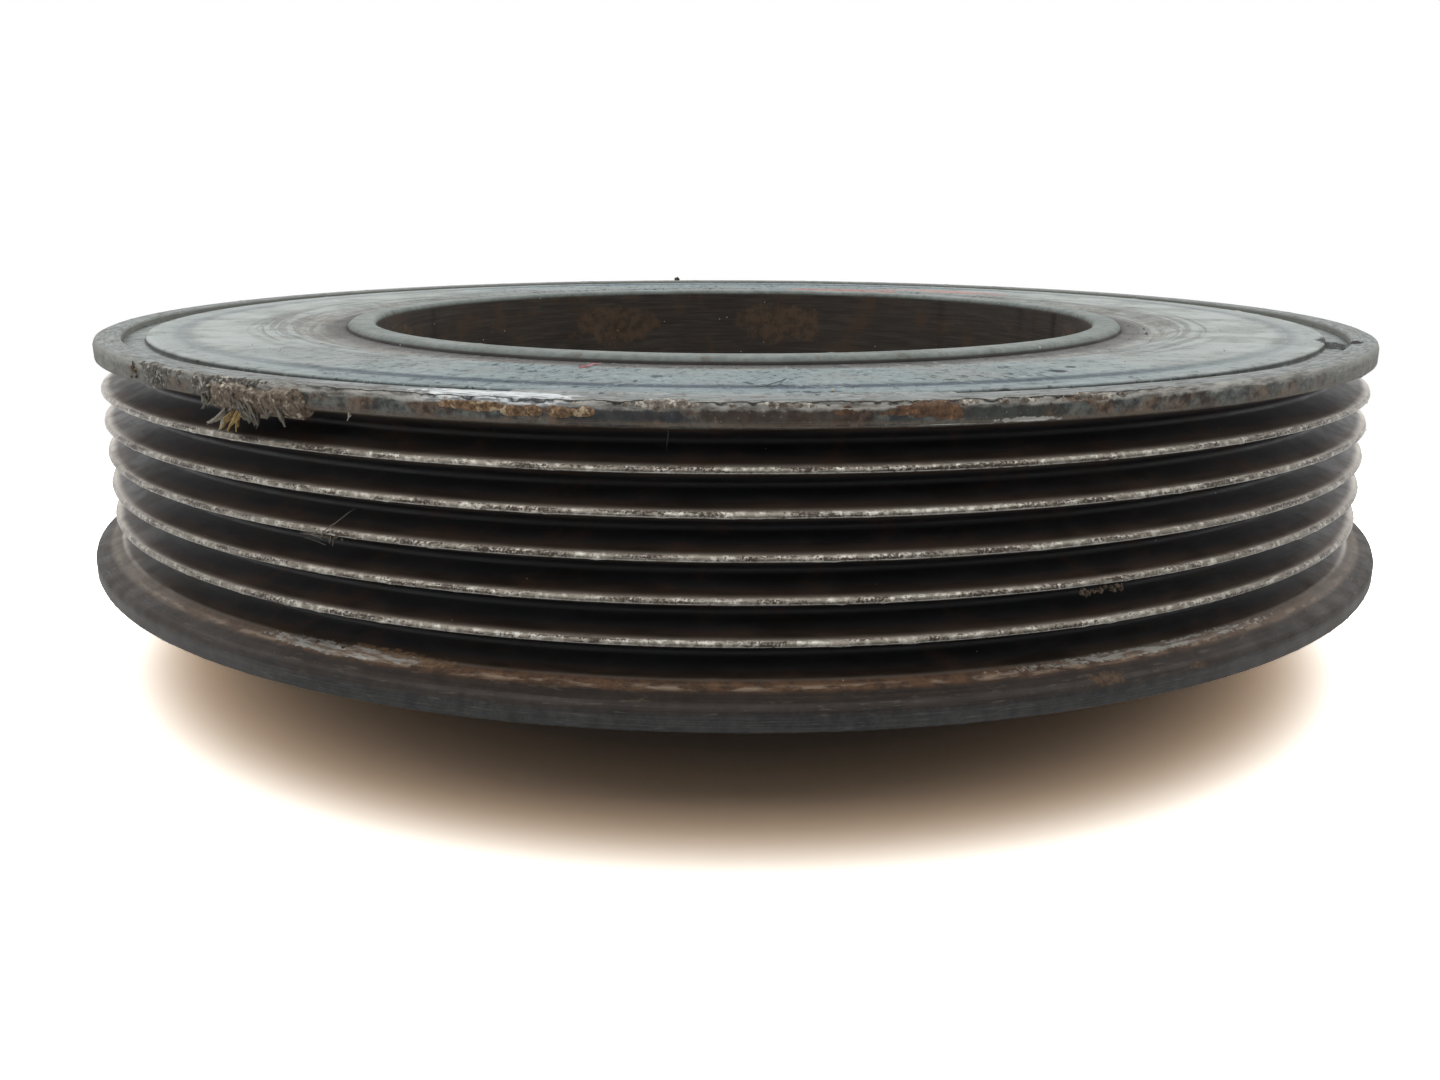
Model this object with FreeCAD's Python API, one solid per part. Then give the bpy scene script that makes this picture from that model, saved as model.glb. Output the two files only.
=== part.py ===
import FreeCAD, Part
import math
import os

# Crankshaft belt pulley with a built-in torsional damper.
# Millimetres, +Z along the axis towards the open dish, origin at the centre of the hub's rear face.
# Four pieces, from the inside out: the dished hub, the moulded rubber ring bonded to it,
# the inertia ring that the rubber carries, and the grooved belt ring pressed over the inertia ring.

# Belt ring: V grooves for a multi-rib belt, between a low front flange and a high rear one
rib_pitch = 3.56
groove_count = 6
groove_angle_deg = 40.0
rib_tip_land = 0.45
groove_root_width = 0.7
belt_tip_diameter = 155.6
belt_line_height = 27.38
wall_under_grooves = 4.3
front_flange_width = 2.165
front_flange_rise = 0.3
front_flange_chamfer = 0.3
front_land_width = 2.9
rear_flange_width = 3.325
rear_flange_rise = 2.55
rear_flange_rim_width = 2.25
rear_flange_chamfer = 0.35
rear_ledge_depth = 0.65
rebate_depth = 1.8

# Hub: a turned dish whose tube carries the rubber and whose web bolts to the shaft
tube_wall = 3.5
lip_proud = 0.1
lip_outer_chamfer = 0.7
neck_length = 9.0
foot_diameter = 89.0
foot_land = 4.6
foot_chamfer = 1.5
dish_corner_width = 2.5
dish_corner_height = 1.6
web_thickness = 6.0
pilot_bore_diameter = 38.0
pilot_bore_chamfer = 0.8
bolt_circle_diameter = 60.0
bolt_hole_diameter = 8.5
bolt_count = 4

# Rubber ring: the spring round the tube and the thin facing over the front
spring_thickness = 4.7
spring_rear_inset = 2.0
trough_depth = 1.2
trough_slope_width = 2.4
facing_setback = 0.2
channel_width = 2.5
channel_depth = 0.8

# Inertia ring: plain cast ring between the rubber and the belt ring
inertia_thickness = 15.39
inertia_rear_inset = 1.4

# Heights and radii that follow from the sizes above. The rings are stacked from the grooves inwards,
# each against the one outside it, and the dish is as wide as they leave it.
flank_slope = math.tan(math.radians(groove_angle_deg / 2))
groove_half_width = (rib_pitch - rib_tip_land) / 2
groove_depth = (groove_half_width - groove_root_width / 2) / flank_slope
groove_band_width = groove_count * rib_pitch - rib_tip_land
tip_radius = belt_tip_diameter / 2
ring_front_z = belt_line_height + groove_band_width / 2 + front_flange_width
ring_rear_z = belt_line_height - groove_band_width / 2 - rear_flange_width
belt_ring_bore_radius = tip_radius - groove_depth - wall_under_grooves
front_flange_radius = tip_radius + front_flange_rise
rear_flange_radius = tip_radius + rear_flange_rise
rebate_radius = front_flange_radius - front_land_width
rebate_z = ring_front_z - rebate_depth
spring_outer_radius = belt_ring_bore_radius - inertia_thickness
tube_radius = spring_outer_radius - spring_thickness
dish_radius = tube_radius - tube_wall


def turned(outline):
    """The solid that a closed outline of (radius, height) corners sweeps about the Z axis."""
    corners = [FreeCAD.Vector(radius, 0, height) for radius, height in outline]
    section = Part.Face(Part.makePolygon(corners + [corners[0]]))
    return section.revolve(FreeCAD.Vector(0, 0, 0), FreeCAD.Vector(0, 0, 1), 360)


def flank_height(centre_z, radius, side):
    """Height where a flank of the groove at centre_z has this radius; side is -1 below it, 1 above it."""
    half_width = groove_half_width - (tip_radius - radius) * flank_slope
    return centre_z + side * half_width


def groove_outline(centre_z, lower_mouth_radius, upper_mouth_radius):
    """One groove from its lower mouth to its upper one: flank, flat root, flank."""
    root_radius = tip_radius - groove_depth
    return [
        (lower_mouth_radius, flank_height(centre_z, lower_mouth_radius, -1)),
        (root_radius, centre_z - groove_root_width / 2),
        (root_radius, centre_z + groove_root_width / 2),
        (upper_mouth_radius, flank_height(centre_z, upper_mouth_radius, 1)),
    ]


def make_belt_ring():
    """The grooved ring. Its first groove ends at a ledge on the rear flange, and its last flank is
    also the front flange's underside, so that no land is left between them."""
    outline = [
        (belt_ring_bore_radius, ring_rear_z),
        (rear_flange_radius - rear_flange_chamfer, ring_rear_z),
        (rear_flange_radius, ring_rear_z + rear_flange_chamfer),
        (rear_flange_radius, ring_rear_z + rear_flange_rim_width),
    ]
    first_groove_z = ring_rear_z + rear_flange_width + groove_half_width
    for index in range(groove_count):
        is_first = index == 0
        is_last = index == groove_count - 1
        lower_mouth_radius = tip_radius - rear_ledge_depth if is_first else tip_radius
        upper_mouth_radius = front_flange_radius if is_last else tip_radius
        centre_z = first_groove_z + index * rib_pitch
        outline += groove_outline(centre_z, lower_mouth_radius, upper_mouth_radius)
    outline += [
        (front_flange_radius, ring_front_z - front_flange_chamfer),
        (front_flange_radius - front_flange_chamfer, ring_front_z),
        (rebate_radius, ring_front_z),
        (rebate_radius, rebate_z),
        (belt_ring_bore_radius, rebate_z),
    ]
    return turned(outline)


def make_inertia_ring():
    """The ring between the rubber and the belt ring, level with the floor of the rebate."""
    rear_z = ring_rear_z + inertia_rear_inset
    return turned([
        (spring_outer_radius, rear_z),
        (belt_ring_bore_radius, rear_z),
        (belt_ring_bore_radius, rebate_z),
        (spring_outer_radius, rebate_z),
    ])


def make_rubber_ring():
    """One moulding: the spring, the trough beside the lip, the facing and the floor of the channel."""
    rear_z = ring_rear_z + spring_rear_inset
    facing_z = ring_front_z - facing_setback
    channel_z = ring_front_z - channel_depth
    trough_z = ring_front_z - trough_depth
    facing_radius = rebate_radius - channel_width
    return turned([
        (tube_radius, rear_z),
        (spring_outer_radius, rear_z),
        (spring_outer_radius, rebate_z),
        (rebate_radius, rebate_z),
        (rebate_radius, channel_z),
        (facing_radius, channel_z),
        (facing_radius, facing_z),
        (spring_outer_radius + trough_slope_width, facing_z),
        (spring_outer_radius, trough_z),
        (tube_radius, trough_z),
    ])


def make_hub():
    """The dish: foot, neck and tube outside, and the bored and drilled web at its floor."""
    foot_radius = foot_diameter / 2
    bore_radius = pilot_bore_diameter / 2
    lip_z = ring_front_z + lip_proud
    neck_top_z = foot_land + neck_length
    dish_floor_radius = foot_radius - tube_wall
    hub = turned([
        (bore_radius + pilot_bore_chamfer, 0),
        (foot_radius - foot_chamfer, 0),
        (foot_radius, foot_chamfer),
        (foot_radius, foot_land),
        (tube_radius, neck_top_z),
        (tube_radius, lip_z - lip_outer_chamfer),
        (tube_radius - lip_outer_chamfer, lip_z),
        (dish_radius, lip_z),
        (dish_radius, neck_top_z),
        (dish_floor_radius, web_thickness + dish_corner_height),
        (dish_floor_radius - dish_corner_width, web_thickness),
        (bore_radius, web_thickness),
        (bore_radius, pilot_bore_chamfer),
    ])
    for index in range(bolt_count):
        turn = 2 * math.pi * index / bolt_count
        x = bolt_circle_diameter / 2 * math.cos(turn)
        y = bolt_circle_diameter / 2 * math.sin(turn)
        hole = Part.makeCylinder(bolt_hole_diameter / 2, web_thickness, FreeCAD.Vector(x, y, 0))
        hub = hub.cut(hole)
    return hub


pieces = {
    "hub": make_hub(),
    "rubber_ring": make_rubber_ring(),
    "inertia_ring": make_inertia_ring(),
    "belt_ring": make_belt_ring(),
}

os.makedirs("parts", exist_ok=True)
for name, shape in pieces.items():
    shape.exportStep("parts/" + name + ".step")
    box = shape.optimalBoundingBox(False)
    print(name, "volume", round(shape.Volume), "mm3, radius", round(box.XMax, 2),
          "height", round(box.ZMin, 2), "to", round(box.ZMax, 2), "valid", shape.isValid())
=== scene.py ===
# %% [markdown]
# # A worn belt pulley, dressed for its picture
#
# The construction of this pulley comes in ready made: four turned pieces, at their real size, standing
# on the hub's rear face with the axis along +Z. This lesson gives them the skin of a pulley that ran
# for years in an engine bay: rounded and nicked edges, black grooves, bright rib tips, rust, matt
# rubber, and a few torn fibres that the belt left behind.
#
# Every cell makes one thing and prints what it made, so the file can be read from top to bottom.

# %% Load the frame
import math
import random

import bmesh
import bpy
from mathutils import Matrix, Vector


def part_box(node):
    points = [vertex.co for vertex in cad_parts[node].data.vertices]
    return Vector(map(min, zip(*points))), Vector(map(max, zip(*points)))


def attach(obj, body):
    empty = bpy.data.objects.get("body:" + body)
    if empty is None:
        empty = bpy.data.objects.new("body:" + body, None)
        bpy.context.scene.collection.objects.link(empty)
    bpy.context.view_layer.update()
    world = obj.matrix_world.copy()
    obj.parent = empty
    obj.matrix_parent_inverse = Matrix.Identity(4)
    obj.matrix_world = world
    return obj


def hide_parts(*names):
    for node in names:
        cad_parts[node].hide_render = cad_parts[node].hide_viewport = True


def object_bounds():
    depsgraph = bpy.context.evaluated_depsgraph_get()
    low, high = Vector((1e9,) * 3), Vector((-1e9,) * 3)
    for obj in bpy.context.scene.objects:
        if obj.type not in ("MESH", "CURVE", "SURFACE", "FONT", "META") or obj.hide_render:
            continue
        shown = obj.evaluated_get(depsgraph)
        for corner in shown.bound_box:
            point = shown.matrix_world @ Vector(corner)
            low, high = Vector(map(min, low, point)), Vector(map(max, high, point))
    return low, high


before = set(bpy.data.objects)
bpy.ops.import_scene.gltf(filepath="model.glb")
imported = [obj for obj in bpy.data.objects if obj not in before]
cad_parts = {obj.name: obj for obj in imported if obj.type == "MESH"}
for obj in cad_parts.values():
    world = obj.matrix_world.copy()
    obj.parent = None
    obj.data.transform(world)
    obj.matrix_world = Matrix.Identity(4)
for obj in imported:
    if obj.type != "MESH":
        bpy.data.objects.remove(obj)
frame_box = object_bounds()
print("nodes in the frame:", ", ".join(sorted(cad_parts)))

# %% [markdown]
# ## Units and measures
#
# Blender works in metres here, but a pulley is easier to think about in millimetres, so every size
# below is in millimetres and is turned into metres at the last moment. The sizes that the frame
# knows, such as the height of the ring and the radius of its rear flange, are read from it and not
# typed.

# %% Measures of the pulley
MM = 0.001

ring_low, ring_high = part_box("belt_ring")
rubber_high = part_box("rubber_ring")[1]
inertia_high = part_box("inertia_ring")[1]
hub_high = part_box("hub")[1]

ring_rear = ring_low.z / MM
ring_front = ring_high.z / MM
rear_flange_radius = ring_high.x / MM
rebate_radius = rubber_high.x / MM
inertia_radius = inertia_high.x / MM
rebate_floor = inertia_high.z / MM
facing_height = rubber_high.z / MM
lip_height = hub_high.z / MM
tube_radius = hub_high.x / MM
print(f"ring from {ring_rear:.2f} to {ring_front:.2f} mm, rear flange radius {rear_flange_radius:.2f} mm")
print(f"rebate radius {rebate_radius:.2f} mm, tube radius {tube_radius:.2f} mm, "
      f"lip at {lip_height:.2f} mm")

# Belt grooves
rib_pitch = 3.56
groove_count = 6
groove_angle = math.radians(40)
rib_land = 0.45
root_width = 0.7
tip_radius = 77.8
first_groove_inset = 3.325
ledge_depth = 0.65
front_flange_rise = 0.3
front_flange_width = 2.165
rear_rim_width = 2.25

# Rubber
spring_thickness = 4.7
spring_inset = 2.0
trough_depth = 0.7
trough_slope = 2.4
channel_width = 2.5
channel_depth = 0.8
dark_band_radius = 68.8

# Hub
tube_wall = 3.5
foot_radius = 44.5
foot_land = 4.6
neck_length = 9.0
dish_corner_width = 2.5
dish_corner_height = 1.6
web_thickness = 6.0
pilot_radius = 19.0
bolt_circle_radius = 30.0
bolt_hole_radius = 4.25
bolt_hole_flare = 0.35
bolt_count = 4

# Heights and radii that follow from the sizes above
groove_top = ring_front - front_flange_width
ledge_top = ring_rear + first_groove_inset
rim_top = ring_rear + rear_rim_width
front_flange_edge = tip_radius + front_flange_rise
facing_edge = rebate_radius - channel_width
spring_edge = tube_radius + spring_thickness
print(f"grooves from {ledge_top:.2f} to {groove_top:.2f} mm, facing out to radius {facing_edge:.2f} mm")

# %% [markdown]
# ## Small helpers for node trees
#
# Geometry and materials are both drawn as node trees. A tree that is built line by line in a script
# soon hides its own idea, so a few short helpers do the wiring: `plug` feeds a socket with a number or
# with another node's output, `calc` is one step of arithmetic, `rescale` moves a value from one
# range to another, and `mix` blends two colours. The others do the same for vectors, numbers and
# masks. They work in both kinds of tree, apart from `colour`, which only turns a screen colour into
# the linear one that a socket wants.

# %% Node helpers
def plug(tree, value, socket):
    """Feeds a socket with another node's output, or sets the plain value on it."""
    if isinstance(value, bpy.types.NodeSocket):
        tree.links.new(value, socket)
    else:
        socket.default_value = value


def place(tree, kind, inputs=None, **settings):
    """Adds a node, sets its options, and feeds its sockets, which are given by name or by number."""
    node = tree.nodes.new(kind)
    for name, value in settings.items():
        setattr(node, name, value)
    for name, value in (inputs or {}).items():
        plug(tree, value, node.inputs[name])
    return node


def calc(tree, operation, first, second=0.0, third=0.0):
    """One step of arithmetic on numbers or sockets."""
    node = place(tree, "ShaderNodeMath", {0: first, 1: second, 2: third}, operation=operation)
    return node.outputs[0]


def vector_calc(tree, operation, first, second=(0, 0, 0)):
    """One step of arithmetic on vectors."""
    node = place(tree, "ShaderNodeVectorMath", {0: first, 1: second}, operation=operation)
    return node.outputs["Value" if operation in ("LENGTH", "DOT_PRODUCT") else "Vector"]


def scaled(tree, vector, factor):
    """A vector times a number."""
    node = place(tree, "ShaderNodeVectorMath", {0: vector, "Scale": factor}, operation="SCALE")
    return node.outputs["Vector"]


def rescale(tree, value, low, high, new_low=0.0, new_high=1.0, smooth=True):
    """Moves a value from one range to another, and stops at both ends."""
    node = place(tree, "ShaderNodeMapRange", {0: value, 1: low, 2: high, 3: new_low, 4: new_high},
                 interpolation_type="SMOOTHSTEP" if smooth else "LINEAR", clamp=True)
    return node.outputs[0]


def noise(tree, point, scale, detail, rough):
    """Soft three-dimensional noise, from 0 to 1 and mostly near a half."""
    node = place(tree, "ShaderNodeTexNoise",
                 {"Vector": point, "Scale": scale, "Detail": detail, "Roughness": rough})
    return node.outputs["Fac"]


def mix(tree, amount, under, over):
    """Lays one colour over another."""
    node = place(tree, "ShaderNodeMix", {0: amount, 6: under, 7: over}, data_type="RGBA")
    return node.outputs[2]


def mix_values(tree, amount, under, over):
    """The same for two plain numbers."""
    node = place(tree, "ShaderNodeMix", {0: amount, 2: under, 3: over}, data_type="FLOAT")
    return node.outputs[0]


def brightest(tree, *masks):
    """The highest of several masks."""
    result = masks[0]
    for mask in masks[1:]:
        result = calc(tree, "MAXIMUM", result, mask)
    return result


def band(tree, value, low, high, soft):
    """A mask that is 1 between two levels."""
    rise = rescale(tree, value, low - soft, low + soft)
    fall = rescale(tree, value, high - soft, high + soft, 1.0, 0.0)
    return calc(tree, "MULTIPLY", rise, fall)


def both(tree, *masks):
    """Where all the masks are on."""
    result = masks[0]
    for mask in masks[1:]:
        result = calc(tree, "MULTIPLY", result, mask)
    return result


def colour(red, green, blue):
    """A colour written as it looks on a screen, from 0 to 255, as the linear value that nodes want."""
    def linear(level):
        level = level / 255
        return level / 12.92 if level <= 0.04045 else ((level + 0.055) / 1.055) ** 2.4
    return (linear(red), linear(green), linear(blue), 1.0)


print("a screen grey of 128 is", round(colour(128, 128, 128)[0], 3), "in linear light")

# %% [markdown]
# ## Where am I on the ring?
#
# Everything on this part was cut on a lathe, so its finish follows three plain measures: the radius,
# the height, and the turn around the axis, here in degrees from the front and growing towards +X. A
# shader group works them out of the Object coordinates once, and all the materials share it.

# %% Shader group: ring coordinates
def new_group(name, inputs, outputs):
    """An empty shader group with named sockets. A default value sets the socket's kind."""
    tree = bpy.data.node_groups.new(name, "ShaderNodeTree")
    for direction, sockets in (("INPUT", inputs), ("OUTPUT", outputs)):
        for title, default in sockets.items():
            kind = "NodeSocketFloat" if isinstance(default, float) else "NodeSocketVector"
            socket = tree.interface.new_socket(title, in_out=direction, socket_type=kind)
            if direction == "INPUT":
                socket.default_value = default
    return tree, tree.nodes.new("NodeGroupInput").outputs, tree.nodes.new("NodeGroupOutput").inputs


def build_ring_coordinates():
    """Point in millimetres, radius, height, turn in degrees, and the unit vector outwards."""
    outputs = {"Point": (0, 0, 0), "Radius": 0.0, "Height": 0.0, "Turn": 0.0, "Outwards": (0, 0, 0)}
    tree, _, result = new_group("Ring coordinates", {}, outputs)
    here = place(tree, "ShaderNodeTexCoord").outputs["Object"]
    point = scaled(tree, here, 1 / MM)
    parts = place(tree, "ShaderNodeSeparateXYZ", {0: point}).outputs
    level = place(tree, "ShaderNodeCombineXYZ", {0: parts[0], 1: parts[1]}).outputs[0]
    backwards = calc(tree, "MULTIPLY", parts[1], -1.0)
    turn = calc(tree, "DEGREES", calc(tree, "ARCTAN2", parts[0], backwards))
    plug(tree, point, result["Point"])
    plug(tree, vector_calc(tree, "LENGTH", level), result["Radius"])
    plug(tree, parts[2], result["Height"])
    plug(tree, turn, result["Turn"])
    plug(tree, vector_calc(tree, "NORMALIZE", level), result["Outwards"])
    return tree


ring_coordinates = build_ring_coordinates()


def use_group(tree, group, inputs=None):
    """Places a shader group in a material and returns its outputs."""
    node = place(tree, "ShaderNodeGroup", node_tree=group)
    for title, value in (inputs or {}).items():
        plug(tree, value, node.inputs[title])
    return node.outputs


print("shader group:", ring_coordinates.name)

# %% [markdown]
# ## Lathe marks
#
# A cutting tool leaves fine rings, and years of belt slip drag the dirt the same way. Plain noise on x,
# y and z would look like clouds. Here the noise is read along a circle instead: the unit vector
# outwards, times a small number, changes slowly around the part and has no seam, while the radius
# or the height, times a large number, changes fast across it. The result is a streak.

# %% Shader group: turned streaks
def build_turned_streaks():
    """Streaks around the axis. Across is the measure they are stacked along, in millimetres."""
    inputs = {"Outwards": (0, 0, 0), "Across": 0.0, "Around": 6.0, "Per mm": 3.0, "Seed": 0.0}
    tree, given, result = new_group("Turned streaks", inputs, {"Value": 0.0})
    circle = scaled(tree, given["Outwards"], given["Around"])
    rise = calc(tree, "MULTIPLY_ADD", given["Across"], given["Per mm"], given["Seed"])
    lift = place(tree, "ShaderNodeCombineXYZ", {2: rise}).outputs[0]
    place_in_noise = vector_calc(tree, "ADD", circle, lift)
    plug(tree, noise(tree, place_in_noise, 1.0, 4.0, 0.6), result["Value"])
    return tree


turned_streaks = build_turned_streaks()


def streaks(tree, ring, across, around, per_mm, seed):
    """One layer of turned streaks in a material."""
    return use_group(tree, turned_streaks, {
        "Outwards": ring["Outwards"], "Across": across, "Around": around, "Per mm": per_mm,
        "Seed": seed})["Value"]


print("shader group:", turned_streaks.name)

# %% [markdown]
# ## Ragged patches
#
# Rust, mud and rubbed spots sit at places of their own. A patch is an oval on the unrolled ring: so
# many degrees wide about one turn, so many millimetres high about one level. Noise eats into its
# edge, because a real patch never ends on a clean line.

# %% Shader group: ragged patch
def build_ragged_patch():
    """A mask that is 1 inside an uneven oval and 0 outside it."""
    inputs = {"Point": (0, 0, 0), "Turn": 0.0, "Level": 0.0, "Turn at": 0.0, "Turn reach": 5.0,
              "Level at": 0.0, "Level reach": 1.0, "Ragged": 0.6, "Grain": 1.0}
    tree, given, result = new_group("Ragged patch", inputs, {"Mask": 0.0})
    sideways = calc(tree, "DIVIDE", calc(tree, "SUBTRACT", given["Turn"], given["Turn at"]),
                    given["Turn reach"])
    upwards = calc(tree, "DIVIDE", calc(tree, "SUBTRACT", given["Level"], given["Level at"]),
                   given["Level reach"])
    oval = place(tree, "ShaderNodeCombineXYZ", {0: sideways, 1: upwards}).outputs[0]
    away = vector_calc(tree, "LENGTH", oval)
    rough_edge = calc(tree, "SUBTRACT", noise(tree, given["Point"], given["Grain"], 4.0, 0.65), 0.5)
    away = calc(tree, "MULTIPLY_ADD", rough_edge, calc(tree, "MULTIPLY", given["Ragged"], 3.0), away)
    plug(tree, rescale(tree, away, 0.75, 1.05, 1.0, 0.0), result["Mask"])
    return tree


ragged_patch = build_ragged_patch()


def patch(tree, ring, level, turn_at, turn_reach, level_at, level_reach, ragged, grain):
    """One ragged patch: where it sits and how far it reaches, in degrees and in millimetres."""
    return use_group(tree, ragged_patch, {
        "Point": ring["Point"], "Turn": ring["Turn"], "Level": ring[level], "Turn at": turn_at,
        "Turn reach": turn_reach, "Level at": level_at, "Level reach": level_reach,
        "Ragged": ragged, "Grain": grain})["Mask"]


print("shader group:", ragged_patch.name)

# %% [markdown]
# ## Speckle
#
# Where a belt or a spanner has rubbed, bright metal shows through as a dense speckle, and never as an
# even coat. The group cuts fine noise at a level: `Cover` says how much of the surface is speckled.

# %% Shader group: worn speckle
def build_worn_speckle():
    """Fine irregular spots. Size is in millimetres, Cover from 0 to 1."""
    inputs = {"Point": (0, 0, 0), "Size": 0.3, "Cover": 0.4, "Soft": 0.06}
    tree, given, result = new_group("Worn speckle", inputs, {"Mask": 0.0})
    spots = noise(tree, given["Point"], calc(tree, "DIVIDE", 1.0, given["Size"]), 3.0, 0.6)
    cut = rescale(tree, given["Cover"], 0.0, 1.0, 0.78, 0.22, smooth=False)
    low = calc(tree, "SUBTRACT", cut, given["Soft"])
    high = calc(tree, "ADD", cut, given["Soft"])
    plug(tree, rescale(tree, spots, low, high), result["Mask"])
    return tree


worn_speckle = build_worn_speckle()


def speckle(tree, ring, size, cover, soft):
    """One layer of speckle in a material."""
    return use_group(tree, worn_speckle, {"Point": ring["Point"], "Size": size, "Cover": cover,
                                          "Soft": soft})["Mask"]


print("shader group:", worn_speckle.name)

# %% [markdown]
# ## Dust
#
# Pale grains sit on the part everywhere, as on anything that has lain on a shelf. Cells of a Voronoi
# texture give each grain its own place, and a random colour per cell keeps only a few.

# %% Shader group: dust grains
def build_dust_grains():
    """Tiny round spots, a few to each square centimetre."""
    inputs = {"Point": (0, 0, 0), "Spacing": 1.2, "Share": 0.25, "Grain": 0.09}
    tree, given, result = new_group("Dust grains", inputs, {"Mask": 0.0})
    cells = place(tree, "ShaderNodeTexVoronoi",
                  {"Vector": given["Point"], "Scale": calc(tree, "DIVIDE", 1.0, given["Spacing"])})
    random_parts = place(tree, "ShaderNodeSeparateColor", {0: cells.outputs["Color"]}).outputs
    distance = calc(tree, "MULTIPLY", cells.outputs["Distance"], given["Spacing"])
    size = calc(tree, "MULTIPLY", given["Grain"], calc(tree, "ADD", random_parts[1], 0.4))
    spot = calc(tree, "LESS_THAN", distance, size)
    kept = calc(tree, "LESS_THAN", random_parts[0], given["Share"])
    plug(tree, calc(tree, "MULTIPLY", spot, kept), result["Mask"])
    return tree


dust_grains = build_dust_grains()


def dust(tree, ring, spacing, share, grain):
    """One scatter of pale grains in a material."""
    return use_group(tree, dust_grains, {"Point": ring["Point"], "Spacing": spacing, "Share": share,
                                         "Grain": grain})["Mask"]


print("shader group:", dust_grains.name)

# %% [markdown]
# ## One tree that turns a section into a ring
#
# A lathe makes a round part from one outline, and Geometry Nodes can do the same. The input is a
# thin mesh that holds only the section: its corners and, on each, how sharp an edge it is. The tree
# lays out a grid with one row for each section point and one column for each step around the axis,
# reads the section by number with Sample Index, and turns each point to its place. Merge by
# Distance closes the seam. A last step presses small nicks into the edges along the surface's normal.
#
# A Screw modifier would give the plain ring too, but not the nicks, which need to know the edges.

# %% Geometry Nodes: turned ring
def build_turning_tree():
    """The tree behind every turned piece, with named inputs for its sizes."""
    tree = bpy.data.node_groups.new("Turned ring", "GeometryNodeTree")
    tree.is_modifier = True
    for title, kind in (("Section", "NodeSocketGeometry"), ("Steps", "NodeSocketInt"),
                        ("From", "NodeSocketFloat"), ("To", "NodeSocketFloat"),
                        ("Nick depth", "NodeSocketFloat"), ("Nick size", "NodeSocketFloat"),
                        ("Nick cover", "NodeSocketFloat"), ("Seed", "NodeSocketFloat"),
                        ("Finish", "NodeSocketMaterial")):
        tree.interface.new_socket(title, in_out="INPUT", socket_type=kind)
    tree.interface.new_socket("Ring", in_out="OUTPUT", socket_type="NodeSocketGeometry")
    given = tree.nodes.new("NodeGroupInput").outputs
    result = tree.nodes.new("NodeGroupOutput").inputs

    size = place(tree, "GeometryNodeAttributeDomainSize", {0: given["Section"]})
    rows = size.outputs["Point Count"]
    columns = calc(tree, "ADD", given["Steps"], 1.0)
    grid = place(tree, "GeometryNodeMeshGrid", {"Vertices X": rows, "Vertices Y": columns})
    number = place(tree, "GeometryNodeInputIndex").outputs[0]
    row = calc(tree, "FLOOR", calc(tree, "DIVIDE", calc(tree, "ADD", number, 0.5), columns))
    column = calc(tree, "SUBTRACT", number, calc(tree, "MULTIPLY", row, columns))
    along = calc(tree, "DIVIDE", column, given["Steps"])
    turn = mix_values(tree, along, given["From"], given["To"])

    here = place(tree, "GeometryNodeInputPosition").outputs[0]
    corner = place(tree, "GeometryNodeSampleIndex", data_type="FLOAT_VECTOR", domain="POINT")
    for title, value in (("Geometry", given["Section"]), ("Value", here), ("Index", row)):
        plug(tree, value, corner.inputs[title])
    edge_name = place(tree, "GeometryNodeInputNamedAttribute", {"Name": "edge"}, data_type="FLOAT")
    edge = place(tree, "GeometryNodeSampleIndex", data_type="FLOAT", domain="POINT")
    for title, value in (("Geometry", given["Section"]), ("Value", edge_name.outputs[0]),
                         ("Index", row)):
        plug(tree, value, edge.inputs[title])
    turned_corner = place(tree, "ShaderNodeVectorRotate",
                          {"Vector": corner.outputs[0], "Angle": turn}, rotation_type="Z_AXIS")
    shaped = place(tree, "GeometryNodeSetPosition",
                   {"Geometry": grid.outputs["Mesh"], "Position": turned_corner.outputs[0]})
    marked = place(tree, "GeometryNodeStoreNamedAttribute", {"Geometry": shaped.outputs[0],
                   "Name": "edge", "Value": edge.outputs[0]}, data_type="FLOAT", domain="POINT")
    marked = place(tree, "GeometryNodeStoreNamedAttribute", {"Geometry": marked.outputs[0],
                   "Name": "along", "Value": along}, data_type="FLOAT", domain="POINT")
    closed = place(tree, "GeometryNodeMergeByDistance", {"Geometry": marked.outputs[0],
                   "Distance": 0.001 * MM})

    place_in_noise = scaled(tree, here, calc(tree, "DIVIDE", 1.0, given["Nick size"]))
    lift = place(tree, "ShaderNodeCombineXYZ", {2: given["Seed"]}).outputs[0]
    bite = noise(tree, vector_calc(tree, "ADD", place_in_noise, lift), 1.0, 3.0, 0.55)
    cut = calc(tree, "SUBTRACT", 0.78, calc(tree, "MULTIPLY", given["Nick cover"], 0.5))
    bite = rescale(tree, bite, cut, calc(tree, "ADD", cut, 0.15))
    kept_edge = place(tree, "GeometryNodeInputNamedAttribute", {"Name": "edge"}, data_type="FLOAT")
    depth = calc(tree, "MULTIPLY", calc(tree, "MULTIPLY", bite, kept_edge.outputs[0]),
                 calc(tree, "MULTIPLY", given["Nick depth"], -1.0))
    normal = place(tree, "GeometryNodeInputNormal").outputs[0]
    nicked = place(tree, "GeometryNodeSetPosition", {"Geometry": closed.outputs[0],
                   "Offset": scaled(tree, normal, depth)})
    smooth = place(tree, "GeometryNodeSetShadeSmooth", {"Geometry": nicked.outputs[0]})
    real = place(tree, "GeometryNodeRealizeInstances", {"Geometry": smooth.outputs[0]})
    finish = place(tree, "GeometryNodeSetMaterial", {"Geometry": real.outputs[0],
                   "Material": given["Finish"]})
    plug(tree, finish.outputs[0], result["Ring"])
    return tree


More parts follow.
